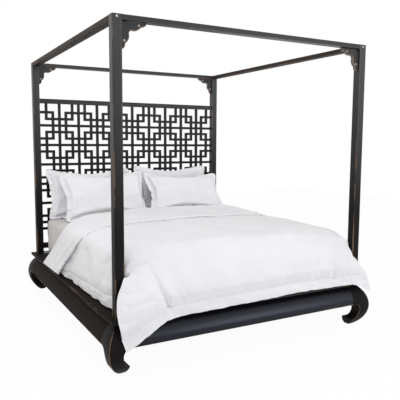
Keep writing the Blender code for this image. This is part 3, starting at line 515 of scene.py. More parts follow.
def turned(shape, profile, centre, steps):
    """Adds a form turned about an axis along Y from the points of its profile, and gives its points."""
    before = set(shape.verts)
    verts = [shape.verts.new(point) for point in profile]
    edges = [shape.edges.new(pair) for pair in zip(verts, verts[1:])]
    bmesh.ops.spin(shape, geom=verts + edges, axis=(0, 1, 0), cent=centre, angle=2 * math.pi, steps=steps,
                   use_merge=True)
    return [vert for vert in shape.verts if vert not in before]


def joined(shape):
    """Joins points that coincide, and turns the faces outward."""
    bmesh.ops.remove_doubles(shape, verts=shape.verts, dist=WELD)
    bmesh.ops.recalc_face_normals(shape, faces=shape.faces)
    return shape


# Brackets, in metres: the rim's shortest edge and its round, the bead, and the field's slope and depth; the
# scroll eyes' places out and down from the corner, and their profile by radius and rise
RIM_LEAST = 0.003
RIM_ROUND = 0.0016
BEAD = 0.0022
FIELD_SLOPE = 0.0010
FIELD_DEPTH = 0.0012
EYE_PLACES = ((0.112, 0.0205), (0.0205, 0.112))
EYE_PROFILE = ((0, -0.0010), (0.0072, -0.0010), (0.0072, 0.0012), (0.0058, 0.0026), (0.0040, 0.0024),
               (0.0030, 0.0008), (0, 0.0018))
EYE_STEPS = 20
# The wear mark of the carving and of the bracket's outline; past 1 the wood shows pale
EYE_WEAR = 2.2
OUTLINE_WEAR = 1.3


def add_bracket(end, side):
    """A spandrel bracket: fretted outline, sunk field inside a raised bead, and a scroll eye at each end."""
    node = f"bracket_{end}_{side}"
    low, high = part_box(node)
    sides = (low.y, high.y)
    shape = cad_copy(node)
    rim = [
        edge
        for edge in outer_edges(shape, RIM_LEAST)
        if any(all(abs(vert.co.y - y) < WELD for vert in edge.verts) for y in sides)
    ]
    eased(shape, rim, RIM_ROUND)
    fields = [
        face
        for face in shape.faces
        if abs(face.normal.y) > 0.99 and any(abs(face.calc_center_median().y - y) < WELD for y in sides)
    ]
    inset(shape, fields, BEAD)
    inset(shape, fields, FIELD_SLOPE, FIELD_DEPTH)
    wear = shape.verts.layers.float["wear"]
    for vert in shape.verts:
        vert[wear] *= OUTLINE_WEAR
    set_wear(shape, fields, 0)
    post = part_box(f"post_{end}_{side}")
    corner_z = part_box(f"canopy_rail_{end}")[0].z
    corner_x, sign = (post[1].x, 1) if side == "left" else (post[0].x, -1)
    for out, down in EYE_PLACES:
        for y, way in zip(sides, (-1, 1)):
            centre = Vector((corner_x + sign * out, y, corner_z - down))
            profile = [centre + Vector((r, way * (rise - FIELD_DEPTH), 0)) for r, rise in EYE_PROFILE]
            for vert in turned(shape, profile, centre, EYE_STEPS):
                vert[wear] = EYE_WEAR
    add_piece(f"{node}_carved", joined(shape), LACQUER[0], "lacquer", node)


# Bolts: the head's profile by radius and distance in from the top of the dome, and the shank
BOLT_PROFILE = ((0, 0.0022), (0.0021, 0.0022), (0.0024, 0.0003), (0.0040, 0.0006), (0.0058, 0.0016),
                (0.0070, 0.0029), (0.0075, 0.0041), (0.0074, 0.0044), (0.0040, 0.0044))
SHANK = 0.0040
SHANK_CHAMFER = 0.0008
BOLT_STEPS = 32


def add_bolt(end, side):
    """A canopy bolt: a domed head with a driving recess, on a plain shank."""
    node = f"canopy_bolt_{end}_{side}"
    low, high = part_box(node)
    middle = (low + high) / 2
    crown, tip, sign = (low.y, high.y, -1) if end == "front" else (high.y, low.y, 1)
    profile = [(radius, crown - sign * depth) for radius, depth in BOLT_PROFILE]
    profile += [(SHANK, tip + sign * SHANK_CHAMFER), (SHANK - SHANK_CHAMFER, tip), (0, tip)]
    shape = bmesh.new()
    turned(shape, [(middle.x + radius, y, middle.z) for radius, y in profile], middle, BOLT_STEPS)
    add_piece(f"{node}_turned", joined(shape), STEEL, "steel", node)
    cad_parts[f"cross_nut_{end}_{side}"].material_slots[0].material = STEEL


def step_up(low, high, value):
    """0 below low, 1 above high, and a smooth rise between."""
    t = np.clip((value - low) / (high - low), 0, 1)
    return t * t * (3 - 2 * t)


def band(rise, fall, value):
    """1 between a rise and a fall, else 0, with smooth ends."""
    return step_up(*rise, value) * (1 - step_up(*fall, value))


def bell(distance, width, height=1):
    """A smooth rise to a height on both sides of a line."""
    return height * np.exp(-((distance / width) ** 2))


def fading(run, length, height=1):
    """A height that fades along a run."""
    return height * np.exp(-run / length)


def ripple(points, size, seed):
    """Smooth noise from -1 to 1 at points, with features of a size in metres."""
    shift = Vector((seed * 7.31, seed * 3.17, seed * 1.73))
    values = [noise.noise(Vector(point) / size + shift) for point in points.reshape(-1, 3)]
    return np.array(values).reshape(points.shape[:-1])


def crumple(points, size, seed):
    """Narrow wrinkles between -1 and 0 on a smooth ground, with features of a size in metres."""
    return -((1 - np.abs(ripple(points, size, seed))) ** 6)


def layered(kind, points, layers):
    """A sum of ripples or crumples, each given by its height, size and seed."""
    return sum(height * kind(points, size, seed) for height, size, seed in layers)


def waves(run, points, pitch, sway, size, seed):
    """Waves along a run that wander to and fro, as gathers do."""
    return np.sin(2 * math.pi * run / pitch + sway * ripple(points, size, seed))


def spline_weights(places, controls):
    """Weights of a clamped cubic spline's control points: one row for each place from 0 to 1."""
    padded = np.clip(np.arange(-2, controls + 2), 0, controls - 1)
    spans = len(padded) - 3
    weights = np.zeros((len(places), controls))
    for row, place in zip(weights, places):
        along = min(place * spans, spans - 1e-9)
        first = int(along)
        t = along - first
        share = ((1 - t) ** 3, 3 * t**3 - 6 * t**2 + 4, -3 * t**3 + 3 * t**2 + 3 * t + 1, t**3)
        for i in range(4):
            row[padded[first + i]] += share[i] / 6
    return weights


def mixed(near, far, share):
    """A place between two others, by its share of the way."""
    return near + (far - near) * share


# Duvet, in metres: how high it and its flap stand, the flap's thickness, the flange's width, the side
# hem's height over the deck and the flap's over that, and how much is turned back
LOFT = 0.075
FLAP_LOFT = 0.0105
FLAP_THICK = 0.011
FLANGE = 0.080
HEM = 0.010
FLAP_RAISE = 0.004
TURN_BACK = 0.628
# Room over the deck, before the pillows and inside the posts
DECK_ROOM = 0.0003
PILLOW_ROOM = 0.008
POST_ROOM = 0.014
# How far the side hem stands out, the flap's beyond it, and the foot; and how far the foot hem drops
SIDE_FLARE = 0.110
FLAP_FLARE = 0.036
FOOT_FLARE = 0.040
FOOT_HEM = 0.014
# Places of the points between the hem and the shoulder, and of the one inside it, across and along
THIRDS = (0.33, 0.66)
INSIDE = (0.30, 0.80)
# The foot hem's run from left to right: place across the bed and height over the deck
FOOT_LINE = ((-0.970, -0.186), (-0.896, -0.155), (-0.690, -0.032), (-0.630, -0.022), (-0.461, -0.015),
             (0.093, -0.004), (0.376, 0.010), (0.880, 0.000), (0.950, -0.020), (1.064, -0.080))
# How it lies on each side:
# fold and free_edge, how far toward the head they lie at the hem, at the shoulder and inside it, against
# the middle; shoulder, how far it stands out and up; climb, how high the side's edge is behind, beside and
# before the post, as a share of the mattress; spread, how far the foot corner reaches past the post's
# inner face before the post, at deck level and at its tip; drop, how far the foot hem hangs below the deck
# at the shoulder and at the tip
DRAPE = {
    "left": {
        "fold": (-0.020, -0.610, -0.230),
        "free_edge": (0.120, -0.470, -0.170),
        "shoulder": (0.080, 0.020),
        "climb": (0.56, 0.84, 0.70),
        "spread": (0.032, 0.096, 0.024),
        "drop": (0.055, 0.190),
    },
    "right": {
        "fold": (0.012, -0.018, -0.004),
        "free_edge": (0.040, 0.020, 0.004),
        "shoulder": (0.064, -0.016),
        "climb": (0.44, 0.61, 0.47),
        "spread": (0.046, 0.105, 0.118),
        "drop": (0.000, 0.080),
    },
}


class Bedstead:
    """Levels and lines of the bed that the bedding is laid on, from the CAD boxes."""

    low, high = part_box("mattress")
    half = high.x
    top = high.z
    foot = low.y
    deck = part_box("deck_rail_front")[1].z + DECK_ROOM
    deck_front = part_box("deck_rail_front")[0].y
    post_low, post_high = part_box("post_front_right")
    inner_x = post_low.x
    post_back = post_high.y
    post_front = post_low.y
    fold = min(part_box(f"pillow_front_{side}")[0].y for side in SIDES) - PILLOW_ROOM


bed = Bedstead


def half_section(sign, hem, shoulder, inside):
    """Control points of half a section, from the hem to inside the shoulder."""
    half = [hem, *(mixed(hem, shoulder, share) for share in THIRDS), shoulder, inside]
    return [point * (sign, 1, 1) for point in half]


def section(hem, shoulder, middle, inside_line=None):
    """A section's points: at the hem, at the shoulder, inside the shoulder and in the middle."""
    hem, shoulder, middle = (np.array(point) for point in (hem, shoulder, middle))
    inside = mixed(shoulder, middle, INSIDE[0])
    inside[1] = mixed(shoulder[1], middle[1], INSIDE[1]) if inside_line is None else inside_line
    return hem, shoulder, inside, middle


def laid_section(drape, line, loft, edge, lift, inward=0):
    """A section that lies over the bed; inward is how far its sides lie inside the others."""
    out, up = drape["shoulder"]
    return section(
        (edge - inward, line[0], bed.deck + lift),
        (bed.half + out - inward, line[1], bed.top + loft + up),
        (0, line[3], bed.top + 1.1 * loft),
        line[2],
    )


def lines_of(drape):
    """The fold and the free edge on one side: at the hem, at and inside the shoulder, and in the middle."""
    head = np.array((*drape["fold"], 0)) + bed.fold
    turn = np.array((*drape["free_edge"], 0)) + bed.fold - TURN_BACK
    return head, turn


def flare(place, head):
    """How far out the side hem lies, less toward the foot."""
    return bed.half + SIDE_FLARE * mixed(0.6, 1, (place - bed.foot) / (head - bed.foot))


def body_sections(drape):
    """Sections of the duvet's body on one side, from under the fold to the hem at the foot."""
    head, turn = lines_of(drape)
    end = np.array((bed.foot,) * 4)
    # on the bed: each section's line, and how high it stands
    laid = [
        (head - 0.060, 0.5 * LOFT),
        (mixed(head, turn, 0.35), 0.80 * LOFT),
        (turn + 0.060, 0.92 * LOFT),
        (turn, LOFT),
        *((mixed(turn, end, share), LOFT) for share in (0.15, 0.35, 0.62, 0.88)),
    ]
    sections = [laid_section(drape, line, loft, flare(line[0], head[0]), HEM) for line, loft in laid]
    narrow = bed.inner_x - POST_ROOM
    deck = bed.deck
    rise = bed.top - deck
    front = bed.deck_front - FOOT_FLARE
    before_post, at_deck, at_tip = (bed.inner_x + spread for spread in drape["spread"])
    behind, beside, before = (deck + rise * share for share in drape["climb"])
    out, up = drape["shoulder"]
    shoulder_drop, tip_drop = drape["drop"]
    # past it: each section's places at the hem, at the shoulder and in the middle
    past = [
        # over the mattress's foot edge, with the side hem still on the deck
        ((bed.half + 0.045, bed.foot + 0.020, deck + HEM),
         (bed.half + out - 0.030, bed.foot + 0.030, bed.top + LOFT + up - 0.010),
         (0, bed.foot + 0.030, bed.top + 1.05 * LOFT)),
        ((narrow + 0.006, bed.foot - 0.050, deck + 0.10 * rise),
         (narrow, bed.foot - 0.030, bed.top + LOFT + up - 0.020),
         (0, bed.foot - 0.030, bed.top + LOFT)),
        # into the room between the posts, and out of it
        ((narrow, bed.post_back, behind),
         (narrow - 0.020, bed.post_back, deck + 1.02 * rise),
         (0, bed.post_back, deck + 1.02 * rise)),
        ((narrow - 0.004, bed.post_front, beside),
         (narrow - 0.030, bed.post_front, deck + 0.79 * rise),
         (0, bed.post_front, deck + 0.80 * rise)),
        # in front of the posts, of the deck, and at the hem
        ((before_post, bed.deck_front - 0.002, before),
         (narrow - 0.080, bed.deck_front - 0.006, deck + 0.48 * rise),
         (0, bed.deck_front - 0.006, deck + 0.48 * rise)),
        ((at_deck, front, deck + 0.045), (narrow - 0.080, front, deck + 0.030), (0, front, deck + 0.030)),
        ((at_tip, front - HEM / 2, deck - tip_drop),
         (narrow - 0.130, front, deck - shoulder_drop),
         (0, front, deck - FOOT_HEM)),
    ]
    return sections + [section(*places) for places in past]


def flap_sections(drape):
    """Sections of the turned-back flap on one side, from its free edge to under the fold at the head."""
    head, turn = lines_of(drape)
    folded = LOFT + FLAP_LOFT
    # each section's line, how high it stands, and how far its sides lie inward
    laid = [
        (turn, folded, 0),
        (turn + 0.025, folded + 0.002, 0),
        (turn + 0.070, folded + 0.002, 0),
        (mixed(turn, head, 0.35), folded, 0),
        (mixed(turn, head, 0.70), folded + 0.008, 0),
        (head - 0.060, folded + 0.018, 0),
        (head - 0.006, folded + 0.012, 0.002),
        (head + 0.008, 0.55 * folded, 0.020),
        (head - 0.012, 0.10 * folded, 0.046),
    ]
    return [
        laid_section(drape, line, loft, flare(line[0], head[0]) + FLAP_FLARE, HEM + FLAP_RAISE, inward)
        for line, loft, inward in laid
    ]


def draped(sections_of, rows, columns):
    """Points of a sheet through the sections of both sides, at places along and across it."""
    left, right = (sections_of(DRAPE[side]) for side in SIDES)
    net = np.array([
        [*half_section(-1, *near[:3]), near[3], *half_section(1, *far[:3])[::-1]]
        for near, far in zip(left, right)
    ])
    along, over = (spline_weights(places, count) for places, count in zip((rows, columns), net.shape))
    return np.einsum("ir,jc,rcx->ijx", along, over, net)


def runs(points, axis):
    """Length along the sheet from its first line, at every point."""
    steps = np.linalg.norm(np.diff(points, axis=axis), axis=2)
    start = np.zeros_like(np.take(steps, [0], axis=axis))
    return np.cumsum(np.concatenate([start, steps], axis=axis), axis=axis)


def border_runs(points):
    """Lengths along a sheet from its left and right borders and from its first and last rows."""
    left = runs(points, 1)
    first = runs(points, 0)
    return left, left[:, -1:] - left, first, first[-1:] - first


def facing(points, flip):
    """Outward directions of a sheet."""
    out = np.cross(np.gradient(points, axis=0), np.gradient(points, axis=1)) * flip
    return out / np.maximum(np.linalg.norm(out, axis=2, keepdims=True), 1e-9)


def closer(parts):
    """Places from 0 to 1: each part is (end, count) and follows on from the last."""
    places = [0.0]
    for end, count in parts:
        places += list(np.linspace(places[-1], end, count + 1)[1:])
    return np.array(places)


def padded_shell(shape, outer, inner, lengths):
    """Adds a closed shell between two grids with one border; lengths are the cloth's own coordinates."""
    layer = shape.loops.layers.uv.get("cloth") or shape.loops.layers.uv.new("cloth")
    rows, columns = outer.shape[:2]
    borders = []
    for points in (outer, inner):
        made = bmesh.ops.create_grid(shape, x_segments=columns - 1, y_segments=rows - 1, size=0.5)["verts"]
        place = {}
        for vert in made:
            j = round((vert.co.x + 0.5) * (columns - 1))
            i = round((vert.co.y + 0.5) * (rows - 1))
            place[vert] = (i, j)
            vert.co = points[i, j]
        for face in {face for vert in made for face in vert.link_faces}:
            for loop in face.loops:
                loop[layer].uv = lengths[place[loop.vert]]
        borders.append({place[vert]: vert for vert in made if vert.is_boundary})
    bmesh.ops.weld_verts(shape, targetmap={vert: borders[0][at] for at, vert in borders[1].items()})


# The duvet's mesh: each part's end and count. Closest at the hems, at the foot corners' creases and along
# the foot's seam
COLUMNS = ((0.06, 6), (0.16, 26), (0.30, 24), (0.40, 36), (0.60, 56), (0.68, 18), (0.84, 20), (0.94, 22),
           (1, 6))
BODY_ROWS = ((0.20, 10), (0.60, 50), (0.80, 40), (0.90, 44), (1, 18))
FLAP_ROWS = ((0.12, 14), (0.72, 26), (1, 18))

# Relief of the cloth, in metres: height, size and seed of each layer. The sides' wrinkles are drawn out
# upright, by the share that comes first
FILLING = ((0.006, 0.36, 1), (0.0036, 0.15, 2), (0.0016, 0.065, 3))
WRINKLES = ((0.0055, 0.42, 21), (0.0036, 0.24, 22), (0.0014, 0.12, 24))
FOOT_WRINKLES = ((0.0085, 0.30, 28), (0.0048, 0.12, 29))
SIDE_WRINKLES = ((0.6, (0.0100, 0.20, 25)), (0.7, (0.0045, 0.085, 26)))
FLAP_WRINKLES = ((0.0018, 0.20, 23),)
FLUTTER = ((0.006, 0.10, 5),)
FLUTTER_WRINKLES = ((0.0060, 0.06, 27),)
# Waves in the cloth: pitch, sway, and the sway's size and seed
SEAM_GATHERS = (0.052, 3.5, 0.19, 6)
CORNER_GATHERS = (0.054, 3, 0.16, 8)
HANGING_WAVES = (0.125, 2.2, 0.3, 11)
EDGE_WAVES = (0.075, 3, 0.22, 12)
# Where gathers and the lifted edge are stronger and weaker: size and seed
SEAM_SHARE = (0.21, 7)
CORNER_SHARE = (0.12, 9)
LIFT_SHARE = (0.16, 10)

# The body, in metres: how far up the foot follows the hem's line; where it falls, before the mattress's
# foot; and the heights over the deck at which hanging sides become the flat top
FOOT_PANEL = 0.26
FALL = (-0.02, -0.10)
SHOULDER_RISE = (0.30, 0.42)
# Past the posts the sides turn back: from where, between which heights, how wide and how deep
CLEAR_OF_POST = 0.02
ROLL_BAND = ((-0.02, 0.08), (0.14, 0.24))
ROLL_WIDTH = 0.10
ROLL_DEPTH = 0.030
# The filling's swell behind the seam; the seam's width and depth; the gathers' start, length and depth
SWELL_BAND = ((FLANGE, FLANGE + 0.07), (0.20, 0.48))
FOOT_SWELL = 0.026
SIDE_SWELL = 0.008
SEAM = (0.007, 0.0100)
GATHER_START = 0.012
GATHER = (0.11, 0.0150)
# The foot corners' creases: place across, the height that each fades out at, depth, side of the bed, and
# slant; the height that they fade from; the top of the slant and its length
CREASES = ((-0.800, 0.36, 0.046, -1, 0.43), (0.716, 0.26, 0.022, 1, 0))
CREASE_FADE = 0.10
SLANT_TOP = 0.342
SLANT_RUN = 0.30
# By distance from a crease's line, width and share: the ridge on one side, and the crease; then the gathers
# on the other side, by distance, width and depth, and the heights at which they end
RIDGES = ((-0.055, 0.055, 0.35), (0.010, 0.016, -1))
CORNER_GATHER = (0.10, 0.075, 0.0110)
CORNER_END = (0.10, 0.24)
# Least room to a post, and how far past its back and front that room is kept
POST_GAP = 0.005
POST_PAST = (0.012, 0.006)
# Thickness of the flange and of the filling, the round of the edge, and where the filling is full
FLANGE_CLOTH = 0.006
FLANGE_ROUND = 0.004
FULL = 0.046
FULL_FROM = 0.30

# The flap, in metres: the heights at which its hanging side becomes the top; where its wrinkles begin; the
# length and height of the free edge's lift and waves; the seam's width and depth, and the swell behind it;
# the hanging waves; how wide its sides lie still; and the round of its edge
FLAP_RISE = (0.28, 0.41)
FLAP_WRINKLES_FROM = (0.02, 0.10)
LIFT = (0.03, 0.0015)
EDGE_WAVE = (0.09, 0.0020)
FLAP_SEAM = (0.007, 0.0055)
FLAP_SWELL = 0.005
FLAP_SWELL_FROM = (FLANGE, FLANGE + 0.05)
HANGING_WAVE = 0.005
FLAP_STILL = 0.07
FLAP_ROUND = 0.009


def soft_relief(points):
    """The unevenness of the filling and the cloth's large wrinkles."""
    return layered(ripple, points, FILLING) + layered(crumple, points, WRINKLES)


def corner_creases(body, falling, foot):
    """The foot corners: a crease between the corner's own panel and the foot, and gathers beside it."""
    x, z = body[..., 0], body[..., 2] - bed.deck
    moved = np.zeros_like(x)
    beside, width, height = CORNER_GATHER
    for line, reach, depth, sign, slant in CREASES:
        off = (x - line + sign * slant * np.clip(SLANT_TOP - z, 0, SLANT_RUN)) * -sign
        there = falling * (1 - step_up(CREASE_FADE, reach, z)) * step_up(FLANGE / 2, FLANGE, foot)
        moved += there * depth * sum(bell(off - place, wide, share) for place, wide, share in RIDGES)
        gather = bell(off - beside, width, height) * waves(off, body, *CORNER_GATHERS)
        moved += there * gather * (1 - step_up(*CORNER_END, z)) * (0.5 + ripple(body, *CORNER_SHARE))
    return moved


def duvet_body(columns):
    """The filled body: its outer and inner faces and the cloth's own coordinates, on one grid."""
    body = draped(body_sections, closer(BODY_ROWS), columns)
    foot = border_runs(body)[3]
    hem_line = np.interp(body[-1, :, 0], *zip(*FOOT_LINE)) + bed.deck
    body[..., 2] += (hem_line - body[-1, :, 2]) * (1 - step_up(0, FOOT_PANEL, foot))
    left, right, head, foot = border_runs(body)
    side = np.minimum(left, right)
    x, y, z = body[..., 0], body[..., 1], body[..., 2] - bed.deck
    falling = step_up(*FALL, y - bed.foot)
    lower = 1 - step_up(*SHOULDER_RISE, z)
    hanging = (1 - falling) * lower

    # Past the posts the sides are folds, not hems, and turn back toward the bed
    clear = step_up(bed.post_back, bed.post_front - CLEAR_OF_POST, y)
    hem = np.minimum(side + clear, foot)
    rolled = clear * band(*ROLL_BAND, z) * (1 - np.clip(side / ROLL_WIDTH, 0, 1)) ** 2
    moved = soft_relief(body) - ROLL_DEPTH * rolled
    moved += layered(crumple, body, FOOT_WRINKLES) * falling
    for upright, layer in SIDE_WRINKLES:
        moved += layered(crumple, body * (1, 1, upright), [layer]) * hanging
    # The filling swells behind the seam; the flange beyond it is flat and flutters a little
    moved += band(*SWELL_BAND, hem) * (FOOT_SWELL * falling + SIDE_SWELL * hanging)
    moved -= bell(hem - FLANGE, *SEAM)
    loose = 1 - step_up(FLANGE / 2, FLANGE, hem)
    moved += loose * (layered(ripple, body, FLUTTER) + layered(crumple, body, FLUTTER_WRINKLES))
    # Gathers run in from the seam
    gather = fading(np.clip(hem - FLANGE, 0, None), *GATHER)
    gather *= step_up(FLANGE, FLANGE + GATHER_START, hem) * (0.5 + 0.5 * ripple(body, *SEAM_SHARE))
    moved += gather * waves(np.where(foot <= side + clear, x, y), body, *SEAM_GATHERS) * lower
    moved += corner_creases(body, falling, foot)

    normal = facing(body, 1)
    outer = body + normal * moved[..., None]
    back, front = bed.post_back + POST_PAST[0], bed.post_front - POST_PAST[1]
    between = (outer[..., 1] < back) & (outer[..., 1] > front)
    most = bed.inner_x - POST_GAP
    outer[..., 0] = np.where(between, np.clip(outer[..., 0], -most, most), outer[..., 0])
    border = np.minimum(np.minimum(side, foot), head)
    thick = FLANGE_CLOTH * np.sqrt(np.clip(border / FLANGE_ROUND, 0, 1))
    thick += FULL * step_up(FLANGE, FULL_FROM, border)
    return outer, outer - normal * thick[..., None], np.stack([left, foot], axis=2)


def duvet_flap(columns):
    """The turned-back flap: its outer and inner faces and the cloth's own coordinates, on one grid."""
    flap = draped(flap_sections, closer(FLAP_ROWS), columns)
    left, right, free, head = border_runs(flap)
    side = np.minimum(left, right)
    hanging = (1 - step_up(*FLAP_RISE, flap[..., 2] - bed.deck)) * (flap[..., 0] < 0)
    moved = soft_relief(flap)
    moved += layered(crumple, flap, FLAP_WRINKLES) * step_up(*FLAP_WRINKLES_FROM, free)
    moved += fading(free, *LIFT) * (0.4 + ripple(flap, *LIFT_SHARE))
    moved += fading(free, *EDGE_WAVE) * waves(left, flap, *EDGE_WAVES)
    moved -= bell(free - FLANGE, *FLAP_SEAM)
    moved += FLAP_SWELL * step_up(*FLAP_SWELL_FROM, free) * (1 - hanging)
    moved += HANGING_WAVE * hanging * (1 + waves(free, flap, *HANGING_WAVES))
    moved *= step_up(0, FLAP_STILL, side)
    # The edges round down to what they lie on
    border = np.minimum(side, np.minimum(free, head))
    normal = facing(flap, -1)
    inner = flap + normal * (moved - FLAP_THICK)[..., None]
    rounded = np.sqrt(1 - (1 - np.clip(border / FLAP_ROUND, 0, 1)) ** 2)
    outer = inner + normal * (FLAP_THICK * rounded)[..., None]
    return outer, inner, np.stack([left, free], axis=2)


def add_duvet():
    """The duvet: a filled body with a flat sewn flange, laid over the bed, and its top end turned back."""
    columns = closer(COLUMNS)
    shape = bmesh.new()
    padded_shell(shape, *duvet_body(columns))
    padded_shell(shape, *duvet_flap(columns))
    bmesh.ops.recalc_face_normals(shape, faces=shape.faces)
    piece = add_piece("duvet_quilted", shape, LINEN, "linen", "duvet")


# Pillows, in metres: the case's bag as cut and its flange, and by how many degrees each pillow
# leans back and is turned to the right
BAG = (0.790, 0.436)
PILLOW_FLANGE = 0.045
PILLOW_SIZE = Vector((0.850, 0.500, 0.170))
PILLOW_LEANS = {"rear_left": (12, 0), "rear_right": (10, 1), "front_left": (25, -1), "front_right": (33, 2.5)}
# The mesh, the flange's rings and thickness, and how far it is tucked into the bag
MESH_STEP = 0.0125
FLANGE_RINGS = 3
FLANGE_THICK = 0.004
FLANGE_TUCK = 0.006
# A place in the cut cloth this close to the seam is on it
ON_SEAM = 1e-4
# The empty bag's rise and unevenness, and how it is filled
SLACK_RISE = 0.030
SLACK_UNEVEN = 0.005
SLACK_SIZE = 1 / 9
FILL_FRAMES = 20
CLOTH = {
    "quality": 6,
    "mass": 0.2,
    "tension_stiffness": 20,
    "compression_stiffness": 20,
    "shear_stiffness": 5,
    "bending_stiffness": 0.3,
    "air_damping": 4,
    "use_pressure": True,
    "uniform_pressure_force": 0,
    "use_pressure_volume": True,
    "target_volume": 0.0265,
    "pressure_factor": 8,
    "vertex_group_pressure": "bag",
}
# How much thinner the top is than the lower edge, how far a pillow sinks, and how softly it flattens
BELLY = 0.16
PILLOW_SINK = 0.018
PILLOW_GIVE = 0.006


def of_kind(items, kind):
    """Those of some mesh elements that are of one kind."""
    return [item for item in items if isinstance(item, kind)]


def sewn_case(seed):
    """A pillowcase as sewn: two panels joined all round, hardly filled yet, with a flat flange outside.

    Gives the case and the number of points that its bag has.
    """
    shape = bmesh.new()
    layer = shape.loops.layers.uv.new("cloth")
    cells = [round(side / MESH_STEP) for side in BAG]
    for way in (1, -1):
        panel = bmesh.ops.create_grid(shape, x_segments=cells[0], y_segments=cells[1], size=0.5)["verts"]
        for vert in panel:
            # a hair inside the border counts as on it
            inside = [max(0, 1 - 4 * vert.co[axis] ** 2 - WELD) ** 0.5 for axis in range(2)]
            vert.co.x *= BAG[0]
            vert.co.y *= BAG[1]
            shift = Vector((seed * 5.3, way * 2.7, seed))
            uneven = SLACK_UNEVEN * noise.noise(vert.co / SLACK_SIZE + shift)
            vert.co.z = way * inside[0] * inside[1] * (SLACK_RISE + uneven)
        faces = list({face for vert in panel for face in vert.link_faces})
        for face in faces:
            for loop in face.loops:
                loop[layer].uv = loop.vert.co.xy
        if way < 0:
            bmesh.ops.reverse_faces(shape, faces=faces)
    bmesh.ops.remove_doubles(shape, verts=shape.verts, dist=WELD)
    count = len(shape.verts)

    def on_border(edge, axis):
        return all(abs(abs(vert.co[axis]) - BAG[axis] / 2) < WELD for vert in edge.verts)

    ring = [edge for edge in shape.edges if on_border(edge, 0) or on_border(edge, 1)]
    for turn in range(FLANGE_RINGS):
        made = bmesh.ops.extrude_edge_only(shape, edges=ring)["geom"]
        half = [side / 2 + PILLOW_FLANGE * turn / FLANGE_RINGS for side in BAG]
        for vert in of_kind(made, bmesh.types.BMVert):
            for axis in range(2):
                if abs(abs(vert.co[axis]) - half[axis]) < WELD:
                    vert.co[axis] += math.copysign(PILLOW_FLANGE / FLANGE_RINGS, vert.co[axis])
        for face in of_kind(made, bmesh.types.BMFace):
            face.material_index = 1
            for loop in face.loops:
                loop[layer].uv = loop.vert.co.xy
        ring = [edge for edge in of_kind(made, bmesh.types.BMEdge) if edge.is_boundary]
    return shape, count


def filled_case(seed):
    """Fills a sewn case by cloth simulation, and gives its shape lying flat, at the pillow's size."""
    shape, count = sewn_case(seed)
    mesh = bpy.data.meshes.new("case")
    for _ in range(2):
        mesh.materials.append(None)
    shape.to_mesh(mesh)
    case = bpy.data.objects.new("case", mesh)
    scene.collection.objects.link(case)
    case.vertex_groups.new(name="bag").add(range(count), 1, "REPLACE")
    cloth = case.modifiers.new("cloth", "CLOTH")
    for name, value in CLOTH.items():
        setattr(cloth.settings, name, value)
    cloth.settings.effector_weights.gravity = 0
    cloth.collision_settings.use_collision = False
    cloth.point_cache.frame_start = 1
    cloth.point_cache.frame_end = FILL_FRAMES
    for number in range(1, FILL_FRAMES + 1):
        scene.frame_set(number)
    shown = case.evaluated_get(bpy.context.evaluated_depsgraph_get())
    shape.clear()
    shape.from_mesh(shown.data)
    bpy.data.objects.remove(case)
    scene.frame_set(1)
    bpy.data.meshes.remove(mesh)
    points = np.array([vert.co for vert in shape.verts])
    low, high = points.min(axis=0), points.max(axis=0)
    sized = (points - (low + high) / 2) * np.array(PILLOW_SIZE) / (high - low)
    for vert, point in zip(shape.verts, sized):
        vert.co = point
        # the filling settles toward the lower edge
        vert.co.z *= 1 - BELLY * (0.5 + vert.co.y / PILLOW_SIZE.y)
    return shape


def tuck_seam(shape, flange):
    """Moves the inner edge of a flange a little way into the bag, so that no gap shows at the seam."""
    layer = shape.loops.layers.uv["cloth"]
    seam = {}
    for face in flange:
        for loop in face.loops:
            if all(abs(loop[layer].uv[axis]) < BAG[axis] / 2 + ON_SEAM for axis in range(2)):
                seam[loop.vert] = loop[layer].uv.copy()
    for vert, cut in seam.items():
        for axis in range(2):
            if abs(cut[axis]) > BAG[axis] / 2 - ON_SEAM:
                vert.co[axis] -= math.copysign(FLANGE_TUCK, cut[axis])


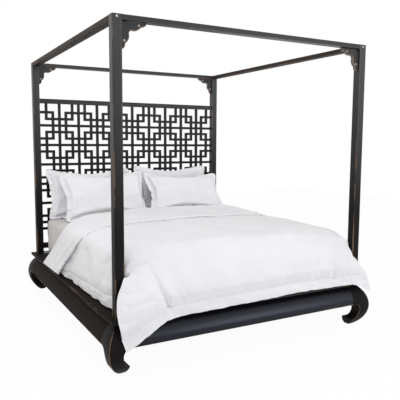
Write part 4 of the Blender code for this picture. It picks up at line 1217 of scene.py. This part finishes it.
def add_pillows():
    """Four flanged pillows, two and two, leaning back on one another and on the headboard."""
    for seed, (place, (lean, roll)) in enumerate(PILLOW_LEANS.items()):
        node = f"pillow_{place}"
        shape = filled_case(seed)
        # the flange comes off the bag, and is doubled to give it a thickness
        flange = [face for face in shape.faces if face.material_index == 1]
        apart = bmesh.ops.split(shape, geom=flange)["geom"]
        tuck_seam(shape, of_kind(apart, bmesh.types.BMFace))
        shape.normal_update()
        second = bmesh.ops.extrude_face_region(shape, geom=apart, use_keep_orig=True)["geom"]
        second = of_kind(second, bmesh.types.BMVert)
        for vert in second:
            vert.co += vert.normal * FLANGE_THICK
        doubled = {face for vert in second for face in vert.link_faces}
        doubled.update(of_kind(apart, bmesh.types.BMFace))
        bmesh.ops.recalc_face_normals(shape, faces=list(doubled))
        for face in shape.faces:
            face.material_index = 0
        turn = math.radians(lean)
        up = Vector((0, math.sin(turn), math.cos(turn)))
        out = Vector((0, -math.cos(turn), math.sin(turn)))
        shape.transform(Matrix.Rotation(math.radians(-roll), 4, "Z"))
        shape.transform(Matrix((Vector((1, 0, 0)), up, out)).transposed().to_4x4())
        low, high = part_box(node)
        points = np.array([vert.co for vert in shape.verts])
        middle = (low + high) / 2 - Vector((points.min(axis=0) + points.max(axis=0)) / 2)
        middle.z = low.z - points[:, 2].min() - PILLOW_SINK
        bmesh.ops.translate(shape, verts=shape.verts, vec=middle)
        # the underside flattens on the mattress
        for vert in shape.verts:
            over = vert.co.z - low.z
            vert.co.z = low.z + (over + math.hypot(over, PILLOW_GIVE)) / 2
        piece = add_piece(f"{node}_filled", shape, LINEN, "linen", node)
        finer = piece.modifiers.new("finer", "SUBSURF")
        finer.levels = finer.render_levels = 1


# Mattress, in metres: its round edges, the sheet's ease, and the depth and size of pulls and of soft places
MATTRESS_ROUND = 0.050
MATTRESS_CUTS = 60
MATTRESS_EASE = 0.002
PULL_DEPTH = 0.0022
PULL_SIZE = (0.11, 0.11, 0.6)
SOFT_DEPTH = 0.003
SOFT_SIZE = 0.24


def add_mattress():
    """The mattress in its fitted sheet: full round edges, and soft pulls in the cloth toward the corners."""
    low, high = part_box("mattress")
    middle = (low + high) / 2
    half = (high - low) / 2 - Vector((MATTRESS_EASE,) * 3)
    shape = bmesh.new()
    bmesh.ops.create_cube(shape, size=2)
    bmesh.ops.subdivide_edges(shape, edges=shape.edges, cuts=MATTRESS_CUTS, use_grid_fill=True)
    core = half - Vector((MATTRESS_ROUND,) * 3)
    for vert in shape.verts:
        full = Vector([vert.co[axis] * half[axis] for axis in range(3)])
        held = Vector([max(-core[axis], min(core[axis], full[axis])) for axis in range(3)])
        out = (full - held).normalized()
        pull = noise.noise(Vector([full[axis] / PULL_SIZE[axis] for axis in range(3)]))
        soft = noise.noise(full / SOFT_SIZE)
        sunk = PULL_DEPTH * (1 + pull) / 2 + SOFT_DEPTH * (1 + soft) / 2
        vert.co = middle + held + out * (MATTRESS_ROUND - sunk)
    bmesh.ops.recalc_face_normals(shape, faces=shape.faces)
    layer = shape.loops.layers.uv.new("cloth")
    for face in shape.faces:
        flat = max(range(3), key=lambda axis: abs(face.normal[axis]))
        over = [axis for axis in range(3) if axis != flat]
        for loop in face.loops:
            loop[layer].uv = [loop.vert.co[axis] for axis in over]
    piece = add_piece("mattress_fitted", shape, FITTED, "fitted_sheet", "mattress")


add_camera()
add_studio()
add_woodwork()
add_bare_wood()
for end, side in CORNERS:
    add_bracket(end, side)
for end, side in CORNERS:
    add_bolt(end, side)
add_mattress()
add_pillows()
add_duvet()
